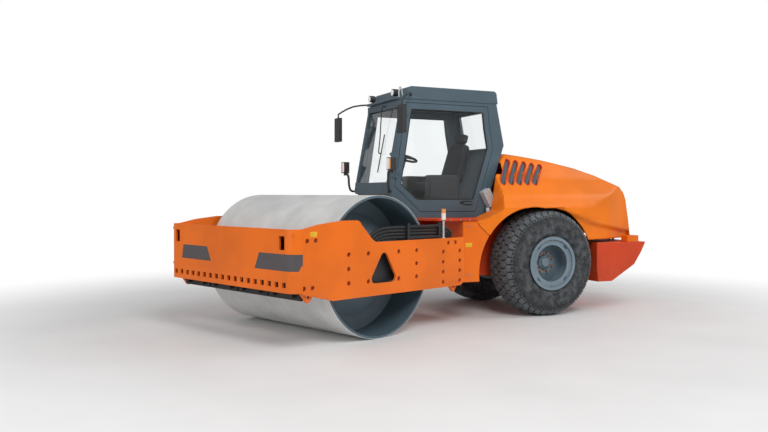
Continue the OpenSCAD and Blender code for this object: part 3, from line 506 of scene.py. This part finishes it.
def tyre(side):
    """Carcass profile turned about the axle, then hexagonal blocks laid on it in staggered rows:
    each at (r cos t, across, r sin t) with r by the crown's table."""
    centre = WHEEL[side]
    v = np.linspace(-TREAD_HALF, TREAD_HALF, 33)
    sunk = TREAD_DEPTH * np.clip((TREAD_HALF - np.abs(v)) / TREAD_FADE, 0, 1)
    tread = np.stack([crown(v) - sunk, v], -1)
    profile = np.concatenate([SIDEWALL[::-1] * [1, -1], tread, SIDEWALL])
    step, row_step = 2 * np.pi / BLOCKS_AROUND, BLOCK_ROWS[1] - BLOCK_ROWS[0]
    blocks = []
    for k, row in enumerate(BLOCK_ROWS):
        turn = step * (np.arange(BLOCKS_AROUND) + 0.5 * (k % 2))
        rings = []
        for size, lift in BLOCK_RINGS:
            across = np.clip(row + BLOCK[:, 1] * size * row_step, -TREAD_HALF, TREAD_HALF)
            radius = crown(across) + lift
            theta = turn[:, None] + BLOCK[:, 0] * size * step
            rings.append(np.stack([radius * np.cos(theta), np.broadcast_to(across, theta.shape),
                                   radius * np.sin(theta)], -1))
        blocks += [stacked(block) for block in np.stack(rings, 1) + centre]
    return turned(profile, centre, LEFT_Y, 144), joined(blocks)


for side in SIDES:
    carcass, blocks = tyre(side)
    made = piece(f"carcass_{side}", carcass, TYRE, f"wheel_{side}", angle=35.0)
    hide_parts(f"tyre_{side}")
    piece(f"tread_{side}", blocks, TREAD, f"wheel_{side}", angle=35.0)

# Hood: stations along x, each a section over the crown and down the side

HOOD_SIDE = np.array([[-3.28, 1.0], [-3.24, 1.22], [-3.15, 1.55], [-3.09, 1.65], [-3.0, 1.715],
                      [-2.81, 1.81], [-2.62, 1.89], [-2.28, 1.99], [-1.77, 2.096], [-1.44, 2.15],
                      [-1.21, 2.185], [-0.96, 1.88], [-0.93, 1.42], [-0.64, 1.3], [-0.52, 1.275]])
HOOD_FRONT = np.array([[0.0, 2.215], [0.46, 2.185], [0.54, 2.14], [0.6, 2.06], [0.69, 1.85],
                       [0.94, 1.6], [1.0, 1.42]])
HOOD_PLAN = np.array([[-3.3, 0.65], [-3.0, 0.76], [-2.7, 0.92], [-2.3, 1.0], [-0.4, 1.0]])
ARCHES = ((-1.392, 0.605, 0.847), (-1.63, 0.705, 0.735))
CAB_SIDE, CAB_BACK, NOSE = 0.676, -1.1, -0.521
BEHIND_CAB = ((-3.279, -3.0, 24), (-2.98, -1.93, 34), (-1.92, CAB_BACK, 76))
SEAM = np.array([[-0.76, 1.03], [-0.535, 1.225], [-0.52, 1.275]])
CREASE = np.array([[-3.3, 1.12], [-3.1, 1.13], [-2.4, 1.235], [-1.9, 1.405], [-1.65, 1.665]])
PLAN_SOFT, FRONT_SOFT, SIDE_SOFT, TAIL_SOFT, TAIL_END = 0.09, 0.03, 0.03, 0.012, -2.9
TUCK, TUCK_START, TUCK_LENGTH, TUCK_FADE = 0.055, -1.65, 0.35, 0.05
SLOTS, SLOT_LOW, SLOT_HIGH = 5, np.array([-1.036, 1.776]), np.array([-1.215, 2.062])
SLOT_R, SLOT_STEP, SLOT_DROP, SLOT_POINTS = 0.033, 0.125, 0.016, 32
FLANK_FROM, SNAP = 0.53, 0.0075


def soft(table, at, width):
    """A table's broken line with its corners rounded, by averaging over a width."""
    reach = np.linspace(-width, width, 9)
    return np.interp(np.asarray(at)[..., None] + reach, table[:, 0], table[:, 1]).mean(-1)


def lower(first, second, blend=0.045):
    """The lower of two heights, blended smoothly where they meet."""
    gap = np.clip(0.5 + 0.5 * (second - first) / blend, 0, 1)
    return second * (1 - gap) + first * gap - blend * gap * (1 - gap)


def hood_foot(x):
    """Height of the hood's lower edge: over the wheel's two arcs, z + root(r^2 - (x - c)^2), along
    the seam ahead of them, and level behind."""
    ahead = np.where(x > SEAM[0, 0], np.interp(x, SEAM[:, 0], SEAM[:, 1]), 1.0)
    arcs = [(z + np.sqrt(np.clip(r ** 2 - (x - centre) ** 2, 0, None))) * (np.abs(x - centre) < r)
            for centre, z, r in ARCHES]
    return np.max(arcs + [ahead], axis=0)


def hood_line(x, start=0.0):
    """Half a section at x: y from start over the top, which is the lower of the side's and the
    front's outline, and down the side, where the crease tucks it in."""
    wide = float(soft(HOOD_PLAN, x, PLAN_SOFT))
    y = start + (wide - start) * np.sin(np.linspace(0, np.pi / 2, 240))
    side_top = float(soft(HOOD_SIDE, x, SIDE_SOFT if x > TAIL_END else TAIL_SOFT))
    top = lower(side_top, soft(HOOD_FRONT, y, FRONT_SOFT))
    z = np.linspace(top[-1], min(float(hood_foot(x)), top[-1]) - 1e-4, 120)[1:]
    crease = float(np.interp(x, CREASE[:, 0], CREASE[:, 1]))
    tuck = (TUCK * np.clip((TUCK_START - x) / TUCK_LENGTH, 0, 1)
            * np.clip((crease - z) / TUCK_FADE, 0, 1))
    return np.concatenate([np.stack([y, top], -1), np.stack([wide - tuck, z], -1)])


def hood_section(x, start, count):
    """A half section cut off at the foot, with its points evenly along it."""
    line = hood_line(x, start)
    line = line[line[:, 1] >= float(hood_foot(x)) - 1e-4]
    length = np.concatenate([[0], np.cumsum(np.linalg.norm(np.diff(line, axis=0), axis=1))])
    even = np.linspace(0, length[-1], count)
    return np.stack([np.full(count, x), *(np.interp(even, length, each) for each in line.T)], -1)


def hood_y(x, z):
    """The hood's half width at points x, z of its flank."""
    lines = [hood_line(float(each)) for each in x]
    return np.array([np.interp(-height, -line[:, 1], line[:, 0]) for line, height in zip(lines, z)])


def slot_ends(index):
    """Both ends of a louvre's middle line in x and z: the first one's, moved back by a step for
    each louvre before it, and the upper one also down by a drop."""
    return SLOT_LOW - [index * SLOT_STEP, 0.0], SLOT_HIGH - [index * SLOT_STEP, index * SLOT_DROP]


def slot_reach(x, z):
    """Signed distance of x, z from the nearest louvre's outline, less than nothing inside, and
    the way out: the distance from its middle line, less its radius."""
    best, out = np.full(x.shape, 9.0), np.zeros((*x.shape, 2))
    for index in range(SLOTS):
        low, high = slot_ends(index)
        along = high - low
        share = np.clip(((x - low[0]) * along[0] + (z - low[1]) * along[1]) / (along @ along), 0, 1)
        away = np.stack([x - low[0] - share * along[0], z - low[1] - share * along[1]], -1)
        far = np.linalg.norm(away, axis=-1)
        near = far - SLOT_R < best
        best = np.where(near, far - SLOT_R, best)
        out = np.where(near[..., None], away / np.maximum(far, 1e-9)[..., None], out)
    return best, out


def hood_shell():
    """Grids of stations: the hood behind the cab and the flanks beside it. Vertices near a
    louvre's outline move onto it, and the faces inside it are left out."""
    behind = np.concatenate([np.linspace(*span) for span in BEHIND_CAB])
    whole = np.stack([hood_section(x, 0.0, 88) for x in behind])
    beside = np.stack([hood_section(x, CAB_SIDE, 50) for x in np.linspace(CAB_BACK, NOSE, 56)])
    parts = []
    for points in (whole, beside):
        reach, out = slot_reach(points[..., 0], points[..., 2])
        close = (np.abs(reach) < SNAP) & (points[..., 1] > FLANK_FROM)
        points[close] -= np.insert(out[close] * reach[close][:, None], 1, 0.0, axis=1)
        points[close, 1] = hood_y(points[close, 0], points[close, 2])
        for sign in SIDES.values():
            flat, quads = grid(rear((points * [1, sign, 1])[::-int(sign)]))
            middle = flat[np.array(quads)].mean(1) - PIVOT
            inside = ((slot_reach(middle[:, 0], middle[:, 2])[0] < -0.001)
                      & (np.abs(middle[:, 1]) > FLANK_FROM))
            parts.append((flat, [quad for quad, gone in zip(quads, inside) if not gone]))
    return joined(parts)


def flank(x, z, lift, sign):
    """Points lifted off the hood's flank along its outward direction, (-dy/dx, 1, -dy/dz) made
    one long, in the row's frame."""
    step = 0.004
    y = hood_y(x, z)
    slope = np.stack([y - hood_y(x + step, z), np.full(x.shape, step), y - hood_y(x, z + step)], -1)
    slope /= np.linalg.norm(slope, axis=-1)[:, None]
    return rear((np.stack([x, y, z], -1) + lift * slope) * [1, sign, 1])


def louvre(index, sign, rings, floor=False):
    """Rings of (radius, lift) round a louvre's middle line, each a stretched circle laid on the
    flank: an end of the line plus the radius times (cos, sin)."""
    low, high = slot_ends(index)
    along = (high - low) / np.linalg.norm(high - low)
    aside = np.array([-along[1], along[0]])
    way = circle(aside, along, SLOT_POINTS, -np.pi / 2 + np.pi / SLOT_POINTS)
    centre = np.where((way @ along > 0)[:, None], high, low)
    loops = [flank(*(centre + radius * way).T, lift, sign) for radius, lift in rings]
    return stacked(np.stack(loops)[:, ::-int(sign)], top=floor)


hood = piece("hood_skin", hood_shell(), HOOD_PAINT, "hood", thick=0.012, angle=50.0)
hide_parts("hood")
WALL = ((SLOT_R + 0.008, 0.0012), (SLOT_R, 0.002), (SLOT_R - 0.002, -0.004),
        (SLOT_R - 0.004, -0.03))
FLOOR = ((SLOT_R - 0.003, -0.03), (0.02, -0.022), (0.01, -0.018))
each_louvre = [(index, sign) for index in range(SLOTS) for sign in SIDES.values()]
walls = joined([louvre(*which, WALL) for which in each_louvre])
floors = joined([louvre(*which, FLOOR, True) for which in each_louvre])
# The red on the louvres' walls is painted shade of the hood's orange inside the recesses.
piece("louvre_walls_painted_shade", walls, RED_PAINT_AND_LOUVRE_SHADE, "hood", angle=35.0)
piece("louvre_floors", floors, CAB_PAINT, "hood", angle=60.0)

# Softened edges of the cab, the sheets and the lamps

SOFT_EDGES = {"cab_roof": 0.03, "cab_frame": 0.006, "door_left": 0.008, "door_right": 0.008,
              "mirrors": 0.008, "headlamps": 0.01, "counterweight": 0.02, "side_box_left": 0.012,
              "side_box_right": 0.012, "deck": 0.006, "front_beam": 0.004,
              "side_plate_left": 0.004, "side_plate_right": 0.004, "console": 0.02,
              "rear_lamps": 0.008, "air_intake": 0.004, "engine_block": 0.01,
              "hose_clamps": 0.004}
for node, width in SOFT_EDGES.items():
    thing = frame["nodes"][node]
    weld = thing.modifiers.new("weld", "WELD")
    weld.merge_threshold = 1e-5
    edge = thing.modifiers.new("edge", "BEVEL")
    edge.width, edge.segments = width, 3
    edge.limit_method, edge.angle_limit = "ANGLE", math.radians(35)

# Bolts sunk in the side plates' holes, darkened as painted shade of the holes, in x from the drum's
# axle and z

PLATE_OUT, BOLT_DEPTH = 1.195, 0.026
PLATE_HOLES = [(1.1, 1.135), (0.99, 1.135), (1.14, 0.655), (1.03, 0.655), (0.536, 0.969),
               (0.536, 0.817), (0.536, 0.665), (0.25, 0.967), (0.25, 0.663), (-0.223, 0.967),
               (-0.223, 0.663), (-0.52, 0.967), (-0.52, 0.815), (-0.52, 0.663), (-1.082, 1.03),
               (-1.215, 1.03)]
PLATE_HOLES += [(x, 0.926 - 0.121 * row) for x in (-0.99, -1.297) for row in range(4)]
for side, sign in SIDES.items():
    holes = front([(DRUM_X + x, sign * (PLATE_OUT - BOLT_DEPTH), z) for x, z in PLATE_HOLES])
    piece(f"plate_bolts_{side}", bolts(holes, sign * ASIDE, 0.0165, 0.016), SHADED_RED_BOLT, "front")

# Wheels: copper nuts, a hub cap and the ring's small bolts

HUB_FACE, NUT_FOOT, NUT_CIRCLE = 0.05, 0.058, 0.13
RING_FACE, RING_CIRCLE = 0.2555, 0.3
CAP = ((0.002, 0.075), (0.05, 0.072), (0.064, 0.062), (0.07, 0.04), (0.085, 0.034), (0.09, 0.02),
       (0.09, 0.011), (0.002, 0.011))
for side, sign in SIDES.items():
    axle = sign * LEFT_Y
    nuts = WHEEL[side] + axle * NUT_FOOT + NUT_CIRCLE * circle(AHEAD_X, UP, 8, math.pi / 8)
    piece(f"wheel_nuts_{side}", bolts(nuts, axle, 0.016, 0.03), COPPER, f"wheel_{side}")
    cap = turned(CAP, WHEEL[side] + axle * HUB_FACE, axle, 48)
    piece(f"hub_cap_{side}", cap, RIM_PAINT, f"wheel_{side}")
    ring = WHEEL[side] + axle * RING_FACE + RING_CIRCLE * circle(AHEAD_X, UP, 12)
    piece(f"ring_bolts_{side}", bolts(ring, axle, 0.008, 0.008), BOLT, f"wheel_{side}")

# Lamp lenses and mirror glass

PAD_RIM = 0.4


def pad_face(centre, first, out, width, height, depth, power=5.0, count=40):
    """A crowned rounded face, upright and as wide as told along its first direction: rings of a
    superellipse from its rim to its middle, lifted by rim + (1 - rim)(1 - r^2) of its depth."""
    shape = squircle(width, height, power, count)
    flat = shape[:, :1] * first + shape[:, 1:] * UP
    rings = [centre + flat]
    for radius in (1.0, 0.93, 0.8, 0.55, 0.25):
        lift = PAD_RIM + (1 - PAD_RIM) * (1 - radius * radius)
        rings.append(centre + radius * flat + out * depth * lift)
    return stacked(np.stack(rings))


# Each lens: its middle on the left side, its width, height and roundness, its finish
LENSES = {"head": ((0.6402, 0.773, 1.99), 0.066, 0.138, 5.0, WHITE_LENS),
          "turn": ((0.6402, 0.831, 1.99), 0.038, 0.138, 5.0, AMBER_LENS),
          "work": ((0.4052, 0.38, 2.9239), 0.078, 0.078, 2.0, WHITE_LENS)}
MIRRORS = {"left": (0.4698, 0.88, 2.54), "right": (0.5898, -1.03, 2.54)}
for side, sign in SIDES.items():
    for name, (place, width, height, power, finish) in LENSES.items():
        middle = rear(np.array(place) * [1, sign, 1])
        face = pad_face(middle, LEFT_Y, AHEAD_X, width, height, 0.008, power)
        piece(f"{name}_lens_{side}", face, finish, "chassis")
for side, place in MIRRORS.items():
    face = pad_face(rear(place), LEFT_Y, -AHEAD_X, 0.14, 0.3, 0.003)
    piece(f"mirror_glass_{side}", face, CHROME, "chassis")

# Rear grille's slats

GRILLE_LOW, GRILLE_HIGH, GRILLE_HALF = 1.25, 1.525, 0.405
SLAT = np.array([[0.003, 0.0], [-0.006, 0.012], [-0.016, 0.002], [-0.012, -0.005]])


def tail_x(z):
    """The hood's tail at a height, on the line through its second and third station:
    x2 - (z2 - z)(x2 - x1) / (z2 - z1)."""
    (x1, z1), (x2, z2) = HOOD_SIDE[1:3]
    return x2 - (z2 - z) * (x2 - x1) / (z2 - z1)


slats = []
for z in np.linspace(GRILLE_LOW, GRILLE_HIGH, 9):
    rows = [rear(np.stack([tail_x(z) + SLAT[:, 0], np.full(4, y), z + SLAT[:, 1]], -1))
            for y in np.linspace(-GRILLE_HALF, GRILLE_HALF, 12)]
    slats.append(stacked(np.stack(rows), foot=True, turn=-1))
piece("grille_slats", joined(slats), DARK, "hood")

# Seat: cushion, back and head rest as crowned closed forms on a pleated foot

SEAT_SQUARE, SEAT_CROWN, SEAT_WAIST = 0.36, 0.1, 0.03
SEAM_DEPTH, SEAM_WIDTH, PIPING, PIPING_WIDTH = 0.1, 0.03, 0.018, 0.12
SEAT_LEAN = math.radians(104)
# Each pad: its middle, its size, its lean, and its seams as an axis, 0 or 1, and a share along it
PADS = (((-0.445, 0.0, 1.705), (0.53, 0.49, 0.13), 0.05, ((0, 0.15), (1, -0.62), (1, 0.62))),
        ((-0.745, 0.0, 2.04), (0.56, 0.47, 0.12), SEAT_LEAN,
         ((0, -0.3), (0, 0.35), (1, -0.6), (1, 0.6))),
        ((-0.83, 0.0, 2.385), (0.13, 0.26, 0.09), SEAT_LEAN, ()))
FOOT_PLACE, FOOT_LOW, FOOT_HEIGHT, FOOT_SIZES = (-0.47, 0.0), 1.3425, 0.29, (0.97, 0.925)


def cushion(centre, size, lean, seams):
    """A closed padded form: a superellipsoid whose faces bulge by (1 - x^2)(1 - y^2), whose sides
    pull in between the corners, and whose top sinks along its seams by a bell curve; it leans back
    by turning about the axis across the machine: (x cos - z sin, y, x sin + z cos)."""
    u, v = np.meshgrid(np.linspace(-np.pi / 2, np.pi / 2, 49),
                       np.linspace(0, 2 * np.pi, 96, endpoint=False), indexing="ij")
    level = rounded(np.cos(u), SEAT_SQUARE)
    x, y = level * rounded(np.cos(v), SEAT_SQUARE), level * rounded(np.sin(v), SEAT_SQUARE)
    z = rounded(np.sin(u), SEAT_SQUARE)
    bulge = 1 + SEAT_CROWN * (1 - x ** 2) * (1 - y ** 2)
    sides = (1 - SEAT_WAIST * (1 - z ** 2)) * (1 + PIPING * np.exp(-(z / PIPING_WIDTH) ** 2))
    sink = sum(SEAM_DEPTH * np.exp(-(((x, y)[axis] - at) / SEAM_WIDTH) ** 2) for axis, at in seams)
    x, y, z = (value * length / 2 for value, length in
               zip((x * sides, y * sides, z * bulge * (1 - sink * (z > 0))), size))
    cos, sin = math.cos(lean), math.sin(lean)
    return grid(rear(centre) + np.stack([x * cos - z * sin, y, x * sin + z * cos], -1), False, True)


pads = joined([cushion(*pad) for pad in PADS])
seat = piece("seat_pads", pads, SEAT_CLOTH, "chassis", angle=180.0)
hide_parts("seat")
pleat = squircle(0.34, 0.38, 5.0, 48)
rings = [np.insert(pleat * FOOT_SIZES[step % 2] + FOOT_PLACE, 2, FOOT_LOW + FOOT_HEIGHT * share, 1)
         for step, share in enumerate(np.linspace(0, 1, 25))]
piece("seat_foot", stacked(rear(np.stack(rings)), foot=True), RUBBER, "chassis")

# Black seals round the door's glass and in its gap, and the recess of its handle

DOOR = np.array([[0.445, 1.715], [0.075, 1.385], [-0.745, 1.385], [-1.01, 2.23], [-0.96, 2.5],
                 [-0.925, 2.79], [0.285, 2.79]])
PANE_FOOT = np.array([[0.1584, 1.5675], [0.115, 1.545], [-0.7103, 1.545]])
PANE_INSET, CAB_HALF, PAD_GAP = 0.081, 0.55, 0.0004


def inset(points, depth):
    """A closed outline moved inwards by a depth, its corners mitred:
    p + d (n1 + n2) / (1 + n1.n2)."""
    ahead = np.roll(points, -1, 0) - points
    normal = np.stack([ahead[:, 1], -ahead[:, 0]], -1) / np.linalg.norm(ahead, axis=1)[:, None]
    before = np.roll(normal, 1, 0)
    return points + depth * (normal + before) / (1 + (normal * before).sum(1))[:, None]


def seal(outline, y, radius, sign):
    """A round cord along a closed outline in x and z at a distance y from the middle: rings round
    the points p (1 - s) + q s between each corner p and the next one q."""
    points = np.insert(outline, 1, y * sign, axis=1)
    share = np.linspace(0, 1, 9)[:-1, None, None]
    path = points * (1 - share) + np.roll(points, -1, 0) * share
    path = path.transpose(1, 0, 2).reshape(-1, 3)
    heading = np.roll(path, -1, 0) - np.roll(path, 1, 0)
    heading /= np.linalg.norm(heading, axis=1)[:, None]
    out = np.broadcast_to(LEFT_Y, path.shape)
    return grid(rings_round(rear(path), np.cross(heading, out), out, radius, 8), True, True)


INNER = inset(DOOR, PANE_INSET)
PANE = np.concatenate([INNER[:1], PANE_FOOT, INNER[3:]])
for side, sign in SIDES.items():
    pane_seal = seal(inset(PANE, 0.004), 0.546, 0.008, sign)
    gap_seal = seal(inset(DOOR, 0.003), 0.538, 0.003, sign)
    piece(f"pane_seal_{side}", pane_seal, RUBBER, f"door_{side}", angle=60.0)
    piece(f"gap_seal_{side}", gap_seal, RUBBER, "chassis", angle=60.0)
    recess = rear([-0.605, sign * (CAB_HALF + PAD_GAP), 1.506])
    face = pad_face(recess, AHEAD_X, sign * LEFT_Y, 0.2, 0.05, 0.0015, 3.0)
    piece(f"handle_recess_{side}", face, RUBBER, f"door_{side}")

# Blank labels, small bolts and the grab loop at the roof's front

BOX_HALF, SILL_HALF, BOLT_GAP = 1.0, 1.015, 0.0002
SILL_BOLTS = [(x, SILL_HALF, 1.295) for x in (0.0, -0.119, -0.255, -0.39)]
BOX_BOLTS = [(x, BOX_HALF, z) for x in (-0.362, -0.416) for z in (1.21, 0.6)]
LOOP = [[0.3, 0.47, 2.87], [0.31, 0.47, 2.94], [0.33, 0.475, 2.985], [0.35, 0.485, 2.985],
        [0.36, 0.49, 2.94], [0.362, 0.49, 2.86]]
for side, sign in SIDES.items():
    box_label = rear([-0.385, sign * (BOX_HALF + PAD_GAP), 0.974])
    plate_label = front([2.641, sign * (PLATE_OUT + PAD_GAP), 1.2])
    face = pad_face(box_label, AHEAD_X, sign * LEFT_Y, 0.095, 0.052, 0.001, 12.0)
    piece(f"box_label_{side}", face, YELLOW_LABEL, "chassis")
    face = pad_face(plate_label, AHEAD, sign * ASIDE, 0.09, 0.053, 0.001, 12.0)
    piece(f"plate_label_{side}", face, YELLOW_LABEL, "front")
    heads = rear((np.array(SILL_BOLTS + BOX_BOLTS) + [0, BOLT_GAP, 0]) * [1, sign, 1])
    piece(f"frame_bolts_{side}", bolts(heads, sign * LEFT_Y, 0.009, 0.008), BOLT, "chassis")
piece("grab_loop", pipe(rear(smooth_path(LOOP, 36)), 0.009), SILVER, "chassis", angle=60.0)

# Floor, light and camera

FLOOR_HALF, FLOOR_POINTS, FLOOR_FADE = 60, 9, (3.6, 8.5)
WORLD_LIGHT, WORLD_SEEN = 0.42, 1.0
WHITE = (1, 1, 1, 1)


def pale_floor():
    """Pale matt floor that takes the shadow and turns plain white far away, by a smooth step of
    the distance."""
    finish = Finish("pale_floor")
    away = finish.x.hypot(finish.y).smooth(*FLOOR_FADE)
    tone = finish.mix(finish.noise(0.8, 2.0).smooth(0.3, 0.7), (0.8, 0.8, 0.8), (0.84, 0.84, 0.84))
    matt = finish.add("BsdfPrincipled", {}, {"Base Color": tone, "Roughness": 0.6})
    white = finish.add("Emission", {}, {"Color": WHITE, "Strength": 1.0})
    seen = finish.add("LightPath", {}, {}, "Is Camera Ray")
    mixed = finish.add("MixShader", {}, {0: away * seen, 1: matt, 2: white})
    finish.add("OutputMaterial", {}, {"Surface": mixed})
    return finish.owner


span = np.linspace(-FLOOR_HALF, FLOOR_HALF, FLOOR_POINTS)
level = np.zeros((FLOOR_POINTS, FLOOR_POINTS))
floor_points, floor_faces = grid(np.stack([*np.meshgrid(span, span, indexing="ij"), level], -1))
floor_mesh = bpy.data.meshes.new("floor")
floor_mesh.from_pydata(floor_points.tolist(), [], floor_faces)
floor_mesh.flip_normals()
floor_mesh.materials.append(pale_floor())
floor = placed("floor", floor_mesh)

world = bpy.data.worlds.new("studio")
bpy.context.scene.world = world
sky = Nodes(world)
direct, through_glass = (sky.add("LightPath", {}, {}, ray)
                         for ray in ("Is Camera Ray", "Is Transmission Ray"))
shine = sky.add("MapRange", {}, {"Value": direct.math("MAXIMUM", direct, through_glass),
                                 "To Min": WORLD_LIGHT, "To Max": WORLD_SEEN})
backdrop = sky.add("Background", {}, {"Color": WHITE, "Strength": shine})
sky.add("OutputWorld", {}, {"Surface": backdrop})


def looking(place, target):
    """A turned matrix at a place whose -Z looks at a target: its columns are right, up, back, all
    one long and square to each other by cross products, and the place."""
    ahead = np.asarray(target, float) - place
    ahead /= np.linalg.norm(ahead)
    right = np.cross(ahead, UP)
    right /= np.linalg.norm(right)
    up = np.cross(right, ahead)
    return Matrix([[right[i], up[i], -ahead[i], place[i]] for i in range(3)] + [[0, 0, 0, 1]])


# Each lamp: its place, its size and its power; all look at one point
LAMPS = {"key": ((1.5, 9.0, 9.0), 5.0, 620.0), "fill": ((9.0, 3.0, 4.0), 6.0, 150.0),
         "rim": ((-8.0, 3.0, 6.0), 4.0, 200.0)}
for name, (place, size, power) in LAMPS.items():
    light = bpy.data.lights.new(name, "AREA")
    light.size, light.energy = size, power
    placed(name, light).matrix_world = looking(np.array(place), (0, 0, 1))

CAMERA_PLACE = rear([4.54, 9.48, 1.596])
CAMERA_YAW, CAMERA_PITCH, CAMERA_ROLL = (math.radians(angle) for angle in (-113.86, -1.52, 0.2))
FOCAL_PIXELS, PHOTO_WIDTH, SENSOR = 771.65, 768.0, 36.0
camera_data = bpy.data.cameras.new("camera")
camera_data.sensor_width = SENSOR
camera_data.lens = FOCAL_PIXELS / PHOTO_WIDTH * SENSOR
camera = placed("camera", camera_data)
level_gaze = math.cos(CAMERA_PITCH)
gaze = np.array([level_gaze * math.cos(CAMERA_YAW), level_gaze * math.sin(CAMERA_YAW),
                 math.sin(CAMERA_PITCH)])
roll = Matrix.Rotation(CAMERA_ROLL, 4, "Z")
camera.matrix_world = looking(CAMERA_PLACE, CAMERA_PLACE + gaze) @ roll
bpy.context.scene.camera = camera
bpy.context.scene.view_settings.view_transform = "Standard"
